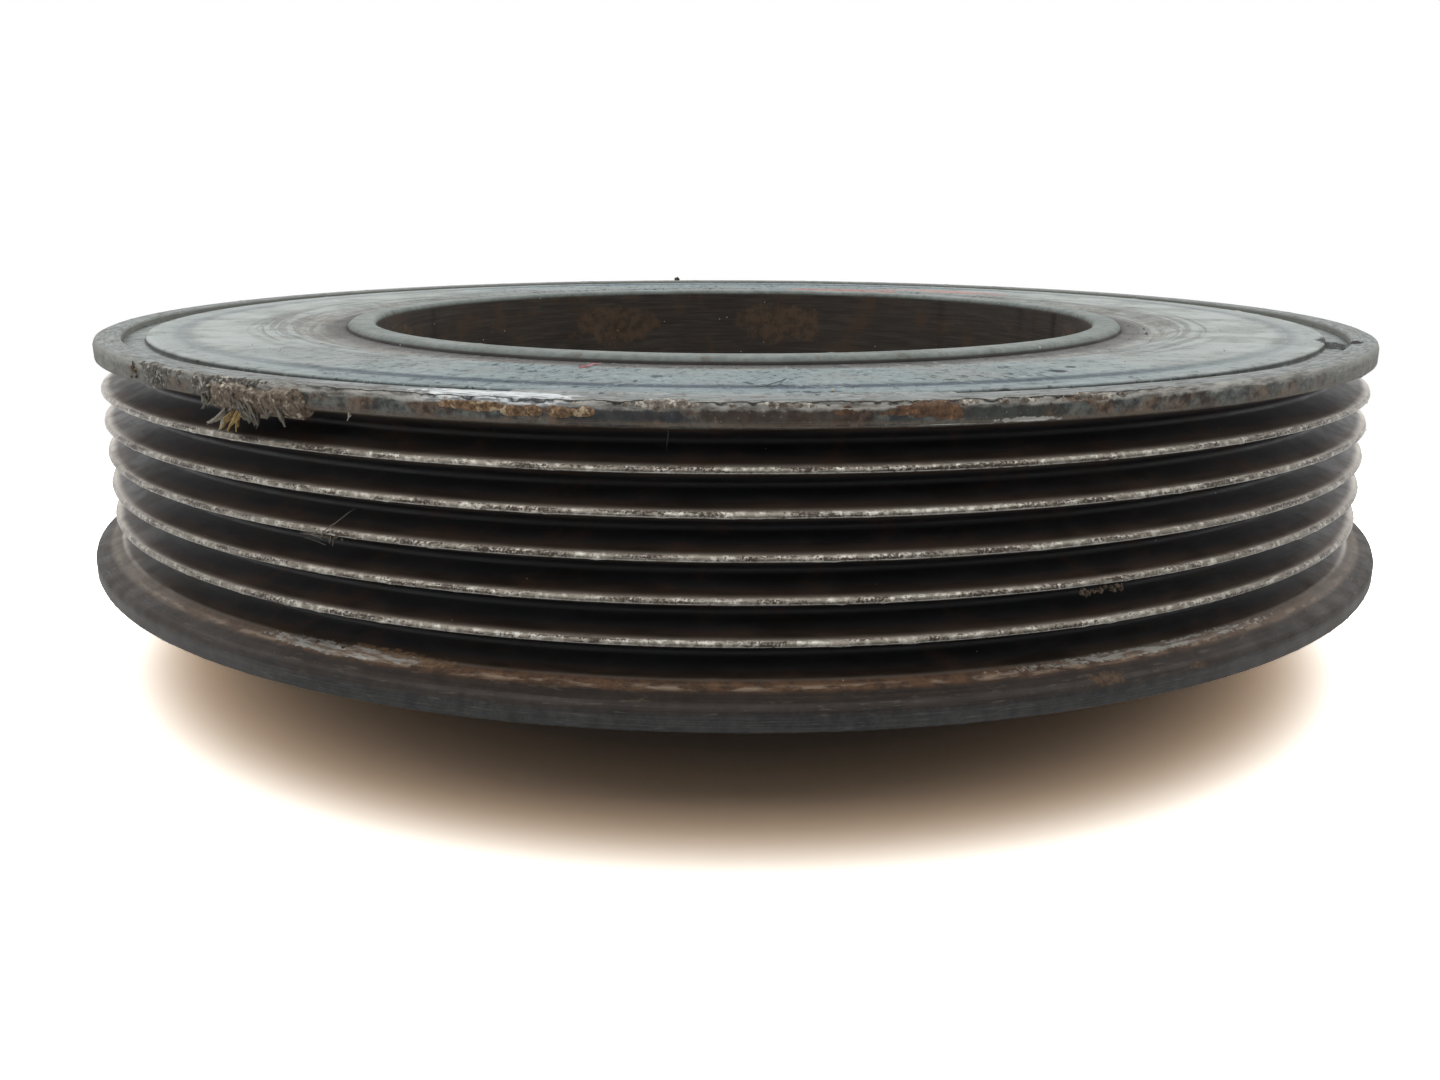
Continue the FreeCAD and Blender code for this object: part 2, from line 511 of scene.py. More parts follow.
turning_tree = build_turning_tree()
print("geometry nodes:", turning_tree.name, "with", len(turning_tree.nodes), "nodes")

# %% [markdown]
# ## From corners to a section
#
# No machined edge is perfectly sharp: it has a small round, and the round is what catches the light.
# `rounded` replaces each corner of an outline by an arc. It also puts one extra point on each side
# of the arc, so that the shading of the flat beside it stays flat.

# %% Outlines and sections
support_gap = 0.12


def rounded(corners, steps=2):
    """Rounds an outline. A corner is (radius, height, round, edge wear); the result is closed.

    Returns the points and the edge wear on each of them.
    """
    points = []
    wear = []
    count = len(corners)
    for index, (radius, height, fillet, edge) in enumerate(corners):
        corner = Vector((radius, height))
        before = Vector(corners[index - 1][:2]) - corner
        after = Vector(corners[(index + 1) % count][:2]) - corner
        half_angle = before.angle(after) / 2
        reach = min(fillet / math.tan(half_angle), before.length * 0.8, after.length * 0.8)
        if fillet == 0:
            points.append(corner)
            wear.append(edge)
            continue
        before_unit = before.normalized()
        after_unit = after.normalized()
        if before.length > 4 * (reach + support_gap):
            points.append(corner + before_unit * (reach + support_gap))
            wear.append(0.0)
        middle = (before_unit + after_unit).normalized()
        centre = corner + middle * (reach / math.cos(half_angle))
        start = corner + before_unit * reach - centre
        sweep = start.angle_signed(corner + after_unit * reach - centre)
        for step in range(steps + 1):
            spoke = Matrix.Rotation(-sweep * step / steps, 2) @ start
            points.append(centre + spoke)
            wear.append(edge)
        if after.length > 4 * (reach + support_gap):
            points.append(corner + after_unit * (reach + support_gap))
            wear.append(0.0)
    return points + points[:1], wear + wear[:1]


def section_mesh(name, points, wear):
    """The thin mesh that the turning tree reads."""
    mesh = bpy.data.meshes.new(name)
    places = [(point.x * MM, 0, point.y * MM) for point in points]
    mesh.from_pydata(places, [(index, index + 1) for index in range(len(places) - 1)], [])
    attribute = mesh.attributes.new("edge", "FLOAT", "POINT")
    attribute.data.foreach_set("value", wear)
    return mesh


print("outline helpers ready, with support points", support_gap, "mm beside each rounded corner")

# %% From a section to a piece
def give_finish(mesh, finish):
    """Puts every face into one material slot. Set Material and Boolean leave an empty one before it."""
    mesh.materials.clear()
    mesh.materials.append(finish)
    mesh.polygons.foreach_set("material_index", [0] * len(mesh.polygons))


def apply_nodes(name, mesh, tree, inputs):
    """Runs a geometry tree on a mesh and returns the result as a plain object."""
    carrier = bpy.data.objects.new(name + " section", mesh)
    bpy.context.scene.collection.objects.link(carrier)
    modifier = carrier.modifiers.new("Nodes", "NODES")
    modifier.node_group = tree
    for item in tree.interface.items_tree:
        if item.in_out == "INPUT" and item.name in inputs:
            modifier[item.identifier] = inputs[item.name]
    depsgraph = bpy.context.evaluated_depsgraph_get()
    result = bpy.data.meshes.new_from_object(carrier.evaluated_get(depsgraph))
    result.name = name
    give_finish(result, inputs["Finish"])
    carrier.modifiers.remove(modifier)
    bpy.data.objects.remove(carrier)
    piece = bpy.data.objects.new(name, result)
    bpy.context.scene.collection.objects.link(piece)
    return piece


def face_outwards(mesh):
    """Turns a closed mesh right side out, and counts its triangles and its open edges."""
    work = bmesh.new()
    work.from_mesh(mesh)
    if work.calc_volume(signed=True) < 0:
        bmesh.ops.reverse_faces(work, faces=work.faces)
    open_edges = sum(1 for edge in work.edges if not edge.is_manifold)
    work.to_mesh(mesh)
    work.free()
    mesh.calc_loop_triangles()
    return len(mesh.loop_triangles), open_edges


def turn_piece(name, corners, finish, nick_depth, nick_size, nick_cover, seed, steps_around=720,
               arc_steps=2):
    """A turned piece, from its corners to a finished object."""
    section = section_mesh(name, *rounded(corners, arc_steps))
    piece = apply_nodes(name, section, turning_tree, {
        "Steps": steps_around, "From": 0.0, "To": math.tau, "Nick depth": nick_depth * MM,
        "Nick size": nick_size * MM, "Nick cover": nick_cover, "Seed": seed, "Finish": finish})
    triangles, open_edges = face_outwards(piece.data)
    print(f"{name}: {triangles} triangles, {open_edges} open edges")
    return piece


print("piece helpers ready, for the tree:", turning_tree.name)

# %% [markdown]
# ## The finish of the belt ring
#
# The grooves are black and brown from rubber dust and oil, under painted shade that deepens towards the
# roots and under each rib. The belt has polished the rib tips, so they are bright steel under a speckle
# of dirt. The front flange is rubbed and rusty in turns, and the rear flange carries a brown film on its
# cone and a blue-black rim. A painted sheen lightens tips, flanks and flanges at both sides. One
# material holds all of it, and chooses by height and radius, because it is one piece of steel. Each
# part of the ring has a cell of its own for its colours, and the last cell joins them.

# %% Colours: the grooves
def painted_side_sheen(tree, ring):
    """A mask for the two sides of the pulley, where a painted sheen lightens tips and flanks evenly."""
    return band(tree, calc(tree, "ABSOLUTE", ring["Turn"]), 62.0, 104.0, 14.0)


def groove_colours(tree, ring, broad_rings, clouds):
    """Painted light and shade on the flanks: pale brown near the rib tips, dark under each rib, black
    towards the roots over rubber dust, with darker and rustier stretches.
    """
    depth = calc(tree, "SUBTRACT", tip_radius, ring["Radius"])
    pitch_part = calc(tree, "DIVIDE", calc(tree, "SUBTRACT", ring["Height"], ledge_top), rib_pitch)
    # The lower flank under each rib is darker and the upper flank paler near the tip: painted shade and
    # painted light.
    underside_shade = rescale(tree, calc(tree, "FRACT", pitch_part), 0.42, 0.5)
    near_tip = mix(tree, underside_shade, colour(160, 150, 138), colour(58, 54, 50))
    # At both sides a painted sheen lightens the flanks near the tips.
    near_tip = mix(tree, painted_side_sheen(tree, ring), near_tip, colour(226, 219, 210))
    shade_depth = calc(tree, "SUBTRACT", depth, calc(tree, "MULTIPLY", painted_side_sheen(tree, ring), 0.7))
    # Darker towards the roots: painted shade in the groove, over the black of rubber dust.
    flank = mix(tree, rescale(tree, shade_depth, 0.0, 0.8), near_tip, colour(66, 54, 45))
    flank = mix(tree, rescale(tree, depth, 0.7, 2.2), flank, colour(40, 41, 44))
    sooty = both(tree, rescale(tree, broad_rings, 0.42, 0.68, 0.0, 0.75), rescale(tree, depth, 0.3, 1.0))
    flank = mix(tree, sooty, flank, colour(34, 28, 24))
    return mix(tree, rescale(tree, clouds, 0.5, 0.72, 0.0, 0.45), flank, colour(74, 50, 34))


print(f"groove colours: brown tips at radius {tip_radius:.2f} mm, black roots below them")

# %% Colours: the front flange
def front_flange_colours(tree, ring, fine_rings, clouds):
    """Grey-green steel with a brown film, darker by turns, broken cream along its top, and a painted
    satin sheen at both sides.
    """
    height = ring["Height"]
    mottle = noise(tree, ring["Point"], 0.9, 5.0, 0.65)
    smears = streaks(tree, ring, height, 30.0, 2.2, 41.0)
    grey = mix(tree, rescale(tree, mottle, 0.36, 0.64), colour(50, 54, 55), colour(112, 116, 110))
    brown = mix(tree, rescale(tree, mottle, 0.36, 0.64), colour(48, 37, 31), colour(122, 102, 86))
    tone = mix(tree, rescale(tree, clouds, 0.44, 0.6), grey, brown)
    blue_black = patch(tree, ring, "Height", -6.5, 4.5, 38.8, 1.0, 0.4, 0.6)
    tone = mix(tree, calc(tree, "MULTIPLY", blue_black, 0.8), tone, colour(44, 47, 52))
    dark_brown = patch(tree, ring, "Height", 2.5, 5.5, 38.9, 1.1, 0.4, 0.6)
    tone = mix(tree, calc(tree, "MULTIPLY", dark_brown, 0.75), tone, colour(64, 48, 38))
    dark_green = patch(tree, ring, "Height", 16.2, 3.6, 38.8, 1.2, 0.35, 0.6)
    tone = mix(tree, calc(tree, "MULTIPLY", dark_green, 0.8), tone, colour(54, 57, 54))
    lower_edge = band(tree, height, groove_top - 0.4, groove_top + 0.45, 0.25)
    tone = mix(tree, both(tree, lower_edge, rescale(tree, fine_rings, 0.36, 0.56)), tone,
               colour(108, 98, 86))
    tone = mix(tree, calc(tree, "MULTIPLY", speckle(tree, ring, 0.4, 0.3, 0.1), 0.45), tone,
               colour(42, 38, 35))
    upper = rescale(tree, calc(tree, "MULTIPLY_ADD", mottle, 0.9, height), ring_front - 0.45,
                    ring_front - 0.05)
    flecks = calc(tree, "MULTIPLY", speckle(tree, ring, 0.3, 0.16, 0.05), 0.6)
    tone = mix(tree, flecks, tone, colour(164, 156, 144))
    cream = mix(tree, rescale(tree, smears, 0.35, 0.65), colour(104, 102, 96), colour(200, 198, 190))
    # Towards both sides the flange takes a painted satin sheen.
    ends = rescale(tree, calc(tree, "ABSOLUTE", ring["Turn"]), 26.0, 60.0)
    cream = mix(tree, ends, cream, colour(136, 138, 131))
    side_sheen_colour = mix(tree, rescale(tree, smears, 0.35, 0.65), colour(104, 102, 95), colour(132, 132, 124))
    tone = mix(tree, calc(tree, "MULTIPLY", ends, 0.75), tone, side_sheen_colour)
    return mix(tree, calc(tree, "MULTIPLY", upper, 0.8), tone, cream)


def land_colours(tree, ring, base):
    """The flat front of the flange: as grey as the facing, with a scratch, bare metal, a crack and a
    torn nick. Returns the colour, and a mask of the crack and the nick for the roughness."""
    radius = ring["Radius"]
    smears = streaks(tree, ring, radius, 26.0, 3.0, 47.0)
    grey = mix(tree, rescale(tree, smears, 0.34, 0.64), colour(92, 96, 94), colour(134, 140, 138))
    grey = mix(tree, speckle(tree, ring, 0.9, 0.3, 0.08), grey, colour(78, 72, 66))
    wander = calc(tree, "MULTIPLY_ADD", noise(tree, ring["Point"], 0.5, 3.0, 0.6), 0.9, radius)
    scratch = both(tree, band(tree, wander, 77.45, 77.75, 0.1),
                   band(tree, ring["Turn"], -31.0, -18.0, 1.0))
    grey = mix(tree, scratch, grey, colour(58, 34, 32))
    on_top = both(tree, rescale(tree, radius, front_flange_edge, front_flange_edge - 0.4),
                  rescale(tree, ring["Height"], ring_front - 0.12, ring_front - 0.02))
    base = mix(tree, on_top, base, grey)
    bare = both(tree, patch(tree, ring, "Radius", -14.2, 5.6, 77.0, 1.7, 0.5, 0.8),
                rescale(tree, ring["Height"], ring_front - 0.75, ring_front - 0.5))
    bare_smears = streaks(tree, ring, radius, 44.0, 7.0, 53.0)
    silver = mix(tree, rescale(tree, bare_smears, 0.4, 0.56), colour(128, 132, 132),
                 colour(234, 238, 238))
    base = mix(tree, bare, base, silver)
    torn = both(tree, patch(tree, ring, "Radius", 63.6, 1.5, 75.6, 0.9, 0.4, 1.6),
                rescale(tree, ring["Height"], ring_front - 1.0, ring_front - 0.8))
    crack = both(tree, band(tree, wander, 78.26, 78.38, 0.08),
                 rescale(tree, ring["Height"], ring_front - 0.5, ring_front - 0.4),
                 rescale(tree, calc(tree, "ABSOLUTE", ring["Turn"]), 33.0, 22.0))
    marks = brightest(tree, crack, torn)
    return mix(tree, marks, base, colour(24, 22, 21)), marks


print(f"front flange colours: from {groove_top:.2f} mm up to the flat top at {ring_front:.2f} mm")

# %% Colours: the rear flange
def rear_flange_colours(tree, ring, fine_rings):
    """A brown film on the cone, a blue-black rim below it, both blotched and finely scratched, and
    lighter at both sides as a painted sheen.
    """
    height = ring["Height"]
    blotches = rescale(tree, noise(tree, ring["Point"], 0.7, 6.0, 0.72), 0.36, 0.64)
    film = mix_values(tree, 0.5, rescale(tree, fine_rings, 0.35, 0.65), blotches)
    cone = mix(tree, film, colour(22, 18, 15), colour(54, 43, 35))
    rim = mix(tree, film, colour(34, 35, 37), colour(70, 69, 67))
    scratches = rescale(tree, streaks(tree, ring, height, 38.0, 5.0, 83.0), 0.58, 0.7, 0.0, 0.5)
    cone = mix(tree, scratches, cone, colour(96, 86, 76))
    rim = mix(tree, scratches, rim, colour(104, 102, 98))
    ledge = band(tree, height, ledge_top - 0.35, ledge_top + 0.15, 0.15)
    ledge_film = mix(tree, blotches, colour(70, 52, 40), colour(116, 86, 62))
    cone = mix(tree, calc(tree, "MULTIPLY", ledge, 0.8), cone, ledge_film)
    ledge_edge = both(tree, band(tree, height, ledge_top - 0.3, ledge_top - 0.1, 0.1),
                      rescale(tree, streaks(tree, ring, height, 24.0, 3.0, 89.0), 0.46, 0.6))
    cone = mix(tree, calc(tree, "MULTIPLY", ledge_edge, 0.7), cone, colour(168, 150, 130))
    # Lighter towards both sides: a painted sheen on the rim and the ledge.
    sides = rescale(tree, calc(tree, "ABSOLUTE", ring["Turn"]), 20.0, 62.0, 0.0, 0.75)
    rim = mix(tree, sides, rim, colour(112, 107, 101))
    cone = mix(tree, both(tree, ledge, sides), cone, colour(112, 105, 97))
    return mix(tree, rescale(tree, height, rim_top - 1.1, rim_top - 0.1), rim, cone)


print(f"rear flange colours: rim up to {rim_top:.2f} mm, cone and ledge up to {ledge_top:.2f} mm")

# %% Masks: rust, bare steel and a painted highlight
def rusty_places(tree, ring):
    """A mask of rust: twice on the front flange, once on the ledge, and twice faintly on the rim."""
    return brightest(
        tree,
        patch(tree, ring, "Height", 21.3, 1.9, 39.55, 0.35, 0.6, 1.6),
        patch(tree, ring, "Height", -46.9, 0.8, 39.1, 0.5, 0.5, 1.8),
        patch(tree, ring, "Height", -22.0, 4.5, ledge_top + 0.1, 0.35, 0.6, 1.0),
        calc(tree, "MULTIPLY", patch(tree, ring, "Height", 23.3, 1.6, 15.9, 0.4, 0.8, 1.8), 0.5),
        calc(tree, "MULTIPLY", patch(tree, ring, "Height", 30.6, 0.8, 15.6, 0.25, 0.8, 1.8), 0.5))


def scraped_steel_and_highlight(tree, ring, edge):
    """A mask of bare steel and a painted highlight: strips low on the front flange, smears on the ledge,
    the right one a painted highlight along its round, ribs' lower edges.
    """
    # The right-hand ledge patch is a painted highlight along the ledge's round; the left one is scraped
    # steel.
    ledge_silver_and_highlight = brightest(tree, patch(tree, ring, "Height", -26.0, 7.0, ledge_top, 0.3, 0.5, 2.2),
                             patch(tree, ring, "Height", 29.0, 11.0, ledge_top, 0.2, 0.8, 2.2))
    scraped = rescale(tree, streaks(tree, ring, ring["Height"], 40.0, 6.0, 97.0), 0.42, 0.6, 0.1, 0.75)
    silver = brightest(
        tree,
        patch(tree, ring, "Height", 17.3, 1.9, groove_top + 0.3, 0.22, 0.8, 1.8),
        patch(tree, ring, "Height", 12.8, 3.0, groove_top + 0.05, 0.12, 0.8, 1.8),
        calc(tree, "MULTIPLY", ledge_silver_and_highlight, scraped))
    lower_lines = both(tree, edge, speckle(tree, ring, 0.45, 0.62, 0.1),
                       band(tree, ring["Height"], ledge_top + 0.8, groove_top - 0.7, 0.1))
    return brightest(tree, silver, calc(tree, "MULTIPLY", lower_lines, 0.7))


print("masks for rust and for bare steel are ready")

# %% Material: belt ring
def new_material(name):
    """An empty material and its Principled shader."""
    material = bpy.data.materials.new(name)
    material.use_nodes = True
    tree = material.node_tree
    tree.nodes.clear()
    shader = tree.nodes.new("ShaderNodeBsdfPrincipled")
    output = tree.nodes.new("ShaderNodeOutputMaterial")
    tree.links.new(shader.outputs[0], output.inputs["Surface"])
    return material, tree, shader


def make_belt_ring_finish():
    material, tree, shader = new_material("belt_ring_finish")
    ring = use_group(tree, ring_coordinates)
    edge = place(tree, "ShaderNodeAttribute", attribute_name="edge").outputs["Fac"]
    edge = rescale(tree, edge, 0.6, 0.95)
    height = ring["Height"]
    radius = ring["Radius"]
    fine_rings = streaks(tree, ring, height, 5.0, 9.0, 3.0)
    broad_rings = streaks(tree, ring, height, 9.0, 1.6, 11.0)
    clouds = noise(tree, ring["Point"], 0.3, 4.0, 0.6)

    base = groove_colours(tree, ring, broad_rings, clouds)
    rubbed = both(tree, rescale(tree, radius, tip_radius - 0.42, tip_radius - 0.08),
                  band(tree, height, ledge_top + 1.0, groove_top, 0.2))
    tip_wear = rescale(tree, streaks(tree, ring, height, 16.0, 2.0, 31.0), 0.3, 0.62, 0.3, 0.8)
    tip_spots = speckle(tree, ring, 0.22, tip_wear, 0.09)
    tip_shine = noise(tree, ring["Point"], 1.3, 3.0, 0.6)
    bright_tip = mix(tree, rescale(tree, tip_shine, 0.44, 0.66), colour(124, 118, 108),
                     colour(186, 182, 172))
    tip_colour = mix(tree, tip_spots, colour(68, 57, 49), bright_tip)
    # At both sides the tips take a painted sheen.
    tip_colour = mix(tree, calc(tree, "MULTIPLY", painted_side_sheen(tree, ring), 0.8), tip_colour,
                     colour(222, 214, 204))
    base = mix(tree, rubbed, base, tip_colour)

    front = rescale(tree, height, groove_top - 0.15, groove_top + 0.15)
    base = mix(tree, front, base, front_flange_colours(tree, ring, fine_rings, clouds))
    base, marks = land_colours(tree, ring, base)
    rear = rescale(tree, height, ledge_top + 0.25, ledge_top + 0.05)
    base = mix(tree, rear, base, rear_flange_colours(tree, ring, fine_rings))

    rust = rusty_places(tree, ring)
    rust_grain = noise(tree, ring["Point"], 2.2, 4.0, 0.65)
    rust_tone = mix(tree, rescale(tree, rust_grain, 0.35, 0.65), colour(92, 64, 44), colour(150, 122, 92))
    base = mix(tree, calc(tree, "MULTIPLY", rust, 0.6), base, rust_tone)
    bright = scraped_steel_and_highlight(tree, ring, edge)
    base = mix(tree, bright, base, colour(188, 187, 180))
    base = mix(tree, dust(tree, ring, 1.3, 0.07, 0.06), base, colour(180, 174, 164))
    plug(tree, base, shader.inputs["Base Color"])

    steel = brightest(tree, both(tree, rubbed, tip_spots), bright)
    in_groove = both(tree, rescale(tree, height, ledge_top, ledge_top + 0.3),
                     rescale(tree, height, groove_top + 0.1, groove_top - 0.3))
    near_tip = rescale(tree, radius, tip_radius - 2.0, tip_radius - 0.9, 0.12, 0.45)
    near_tip = calc(tree, "MULTIPLY_ADD", painted_side_sheen(tree, ring), 0.12, near_tip)
    near_tip = calc(tree, "MULTIPLY", near_tip, rescale(tree, broad_rings, 0.35, 0.6, 0.7, 1.0))
    metal = brightest(tree, calc(tree, "MULTIPLY", steel, 0.8),
                      calc(tree, "MULTIPLY", in_groove, near_tip))
    plug(tree, metal, shader.inputs["Metallic"])
    dull = mix_values(tree, rescale(tree, clouds, 0.3, 0.7), 0.5, 0.66)
    dull = mix_values(tree, in_groove, dull, rescale(tree, clouds, 0.35, 0.65, 0.36, 0.48))
    dull = mix_values(tree, rust, dull, 0.85)
    dull = mix_values(tree, marks, dull, 1.0)
    plug(tree, mix_values(tree, steel, dull, 0.36), shader.inputs["Roughness"])
    shader.inputs["Specular IOR Level"].default_value = 0.35

    grain = noise(tree, ring["Point"], 4.0, 4.0, 0.6)
    relief = calc(tree, "MULTIPLY_ADD", fine_rings, 0.6, calc(tree, "MULTIPLY", grain, 0.5))
    relief = calc(tree, "MULTIPLY_ADD", rust, 0.8, relief)
    relief = calc(tree, "MULTIPLY_ADD", marks, -6.0, relief)
    on_flange = rescale(tree, height, groove_top - 0.4, groove_top + 0.2)
    flange_lumps = both(tree, on_flange, noise(tree, ring["Point"], 1.2, 4.0, 0.6))
    relief = calc(tree, "MULTIPLY_ADD", flange_lumps, 2.5, relief)
    bump = place(tree, "ShaderNodeBump", {"Strength": 0.6, "Distance": 0.05 * MM, "Height": relief})
    plug(tree, bump.outputs[0], shader.inputs["Normal"])
    return material


belt_ring_finish = make_belt_ring_finish()
print("material:", belt_ring_finish.name, "with", len(belt_ring_finish.node_tree.nodes), "nodes")

# %% [markdown]
# ## The grooved ring
#
# The section is walked from the rear bore outwards: the rear flange with its rim, cone and ledge,
# then six V grooves with flat roots, whose rib tips are 0.45 mm wide, and last the front flange with
# the rebate behind it. The grooves are a loop, since a standard belt section repeats every 3.56 mm.
# Each corner gives its radius, its height, its rounding, and how worn its edge is.

# %% Piece: belt ring
shoulder_round = 0.5
lower_edge_round = 0.1


def belt_ring_corners():
    slope = math.tan(groove_angle / 2)
    half_mouth = (rib_pitch - rib_land) / 2
    root_radius = tip_radius - (half_mouth - root_width / 2) / slope
    corners = [
        (inertia_radius, ring_rear, 0.2, 0.2),
        (rear_flange_radius, ring_rear, 0.45, 0.7),
        (rear_flange_radius, rim_top, 0.8, 0.3),
    ]
    for index in range(groove_count):
        middle = ring_rear + first_groove_inset + half_mouth + index * rib_pitch
        lower = tip_radius - ledge_depth if index == 0 else tip_radius
        upper = front_flange_edge if index == groove_count - 1 else tip_radius
        low_height = middle - half_mouth + (tip_radius - lower) * slope
        high_height = middle + half_mouth - (tip_radius - upper) * slope
        corners += [
            (lower, low_height, shoulder_round, 0.5),
            (root_radius, middle - root_width / 2, 0, 0),
            (root_radius, middle + root_width / 2, 0, 0),
            (upper, high_height, lower_edge_round, 1.0),
        ]
    corners += [
        (front_flange_edge, ring_front, 0.6, 0.5),
        (rebate_radius, ring_front, 0.25, 0.4),
        (rebate_radius, rebate_floor, 0, 0),
        (inertia_radius, rebate_floor, 0, 0),
    ]
    return corners


belt_ring = turn_piece("belt_ring_turned", belt_ring_corners(), belt_ring_finish,
                       nick_depth=0.09, nick_size=1.4, nick_cover=0.45, seed=2.0)

# %% [markdown]
# ## The finish of the rubber
#
# The rubber is one moulding, seen as a broad matt ring. It has gone blue-grey with age on the open
# facing, with a blurred dark band near its outer edge, a painted pale sheen at both sides, brown dirt in
# the trough, and painted shade at the foot of the lip and on the channel's wall. Each function below
# gives one part of that, as a colour or as a mask.

# %% Colours: the rubber
def facing_colours(tree, ring, clouds, mottle, fine_rings, facing_sheen, worn_film):
    """Blue-grey rubber, lighter at both sides as a painted sheen, and a mask of the dark band that it
    carries.
    """
    radius = ring["Radius"]
    inner = mix(tree, rescale(tree, mottle, 0.34, 0.66), colour(92, 108, 110), colour(116, 132, 133))
    inner = mix(tree, rescale(tree, clouds, 0.42, 0.66, 0.0, 0.5), inner, colour(112, 110, 104))
    outer = mix(tree, rescale(tree, fine_rings, 0.35, 0.65), colour(84, 101, 107), colour(114, 130, 133))
    # The pale colour towards both sides is a painted sheen.
    facing_sheen_colour = mix(tree, rescale(tree, worn_film, 0.38, 0.62), colour(174, 180, 176),
                      colour(150, 154, 148))
    inner = mix(tree, facing_sheen, inner, facing_sheen_colour)
    outer = mix(tree, facing_sheen, outer, colour(156, 162, 158))
    past_band = rescale(tree, radius, dark_band_radius - 0.5, dark_band_radius + 0.2)
    at_edge = rescale(tree, radius, facing_edge - 1.6, facing_edge - 0.2)
    base = mix(tree, calc(tree, "SUBTRACT", past_band, at_edge), inner, outer)
    wander = calc(tree, "MULTIPLY_ADD", mottle, 0.8, radius)
    dark_band = band(tree, wander, dark_band_radius - 0.7, dark_band_radius + 1.3, 0.7)
    dark_band = both(tree, dark_band, rescale(tree, mottle, 0.3, 0.5, 0.6, 1.0),
                     rescale(tree, facing_sheen, 0.0, 0.75, 0.9, 0.3))
    return mix(tree, dark_band, base, colour(34, 50, 64)), dark_band


def with_channel(tree, ring, base, mottle):
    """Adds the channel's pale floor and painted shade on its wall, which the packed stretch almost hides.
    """
    # The dark wall is painted shade, weaker at the front where packed dirt fills the channel.
    wall = band(tree, ring["Radius"], facing_edge - 0.02, facing_edge + 0.15, 0.06)
    channel = rescale(tree, ring["Radius"], facing_edge, facing_edge + 0.1)
    floor_colour = mix(tree, rescale(tree, mottle, 0.36, 0.64), colour(96, 102, 100),
                       colour(130, 136, 133))
    base = mix(tree, channel, base, floor_colour)
    not_packed = rescale(tree, calc(tree, "ABSOLUTE", ring["Turn"]), 9.0, 17.0, 0.15, 1.0)
    return mix(tree, calc(tree, "MULTIPLY", wall, not_packed), base, colour(34, 34, 33))


def with_trough_dirt(tree, ring, base, clouds, mottle):
    """Adds the brown dirt in the trough, and painted shade at the foot of the lip."""
    trough = rescale(tree, ring["Radius"], spring_edge + trough_slope + 0.5, spring_edge + 0.3)
    dirt_spread = both(tree, trough, rescale(tree, clouds, 0.36, 0.56, 0.35, 1.0))
    dirt = mix(tree, rescale(tree, mottle, 0.36, 0.64), colour(88, 81, 72), colour(130, 126, 117))
    base = mix(tree, calc(tree, "MULTIPLY", dirt_spread, 0.75), base, dirt)
    # Dark against the lip: painted shade at the foot of the lip.
    lip_foot_shade = rescale(tree, ring["Radius"], spring_edge - 0.8, spring_edge - 3.0)
    return mix(tree, calc(tree, "MULTIPLY", lip_foot_shade, 0.9), base, colour(38, 33, 28))


print(f"rubber colours: dark band at radius {dark_band_radius} mm, channel beyond {facing_edge:.2f} mm")

# %% Masks: damage on the rubber
def pits_and_specks(tree, ring, sides):
    """Masks of dark pits and of light specks, both fewer at the sides."""
    upwards = {2: calc(tree, "MULTIPLY", ring["Radius"], 0.7)}
    radius_part = place(tree, "ShaderNodeCombineXYZ", upwards).outputs[0]
    pit_place = vector_calc(tree, "ADD", scaled(tree, ring["Outwards"], 70.0), radius_part)
    pits = noise(tree, pit_place, 1.0, 4.0, 0.65)
    pitted = rescale(tree, noise(tree, ring["Point"], 0.16, 3.0, 0.6), 0.4, 0.6, 0.35, 1.0)
    pitted = calc(tree, "MULTIPLY", pitted, rescale(tree, sides, 20.0, 54.0, 1.0, 0.3))
    dark_spots = both(tree, rescale(tree, pits, 0.565, 0.61), pitted)
    light_spots = both(tree, rescale(tree, pits, 0.4, 0.36), pitted)
    return dark_spots, light_spots


def chipped_places(tree, ring):
    """A mask of three chips in the facing and of the torn place at its edge."""
    return brightest(
        tree,
        patch(tree, ring, "Radius", 27.2, 0.8, 64.8, 0.9, 0.4, 2.0),
        patch(tree, ring, "Radius", 30.0, 0.6, 63.1, 0.5, 0.4, 2.0),
        patch(tree, ring, "Radius", 2.4, 0.8, 68.6, 0.4, 0.5, 2.0),
        patch(tree, ring, "Radius", 66.3, 3.6, 73.3, 1.7, 0.4, 1.2),
        patch(tree, ring, "Radius", 63.8, 1.4, 74.8, 0.7, 0.4, 1.4))


def slanted_cut(tree, ring, mottle):
    """A mask of one slanted cut in the facing, near the front."""
    slanted = calc(tree, "MULTIPLY_ADD", calc(tree, "SUBTRACT", ring["Turn"], 2.0), 2.3, ring["Radius"])
    slanted = calc(tree, "MULTIPLY_ADD", mottle, 1.6, slanted)
    return both(tree, band(tree, slanted, 69.45, 69.9, 0.12), band(tree, ring["Turn"], 1.9, 4.3, 0.3))


def red_smear(tree, ring):
    """A mask of the smear at the back of the facing."""
    return brightest(
        tree,
        patch(tree, ring, "Radius", 160.0, 11.0, 56.0, 3.0, 0.5, 0.25),
        patch(tree, ring, "Radius", 143.0, 12.0, 61.5, 3.0, 0.5, 0.25))


def moulding_ridges(tree, ring, sides):
    """A mask of fine rings beside the trough, at both sides."""
    return both(tree, rescale(tree, streaks(tree, ring, ring["Radius"], 2.5, 1.0, 71.0), 0.46, 0.56),
                rescale(tree, ring["Radius"], spring_edge + 8.0, spring_edge + 5.0),
                rescale(tree, sides, 26.0, 44.0))


print("masks for pits, chips, a cut, a smear and fine rings are ready")

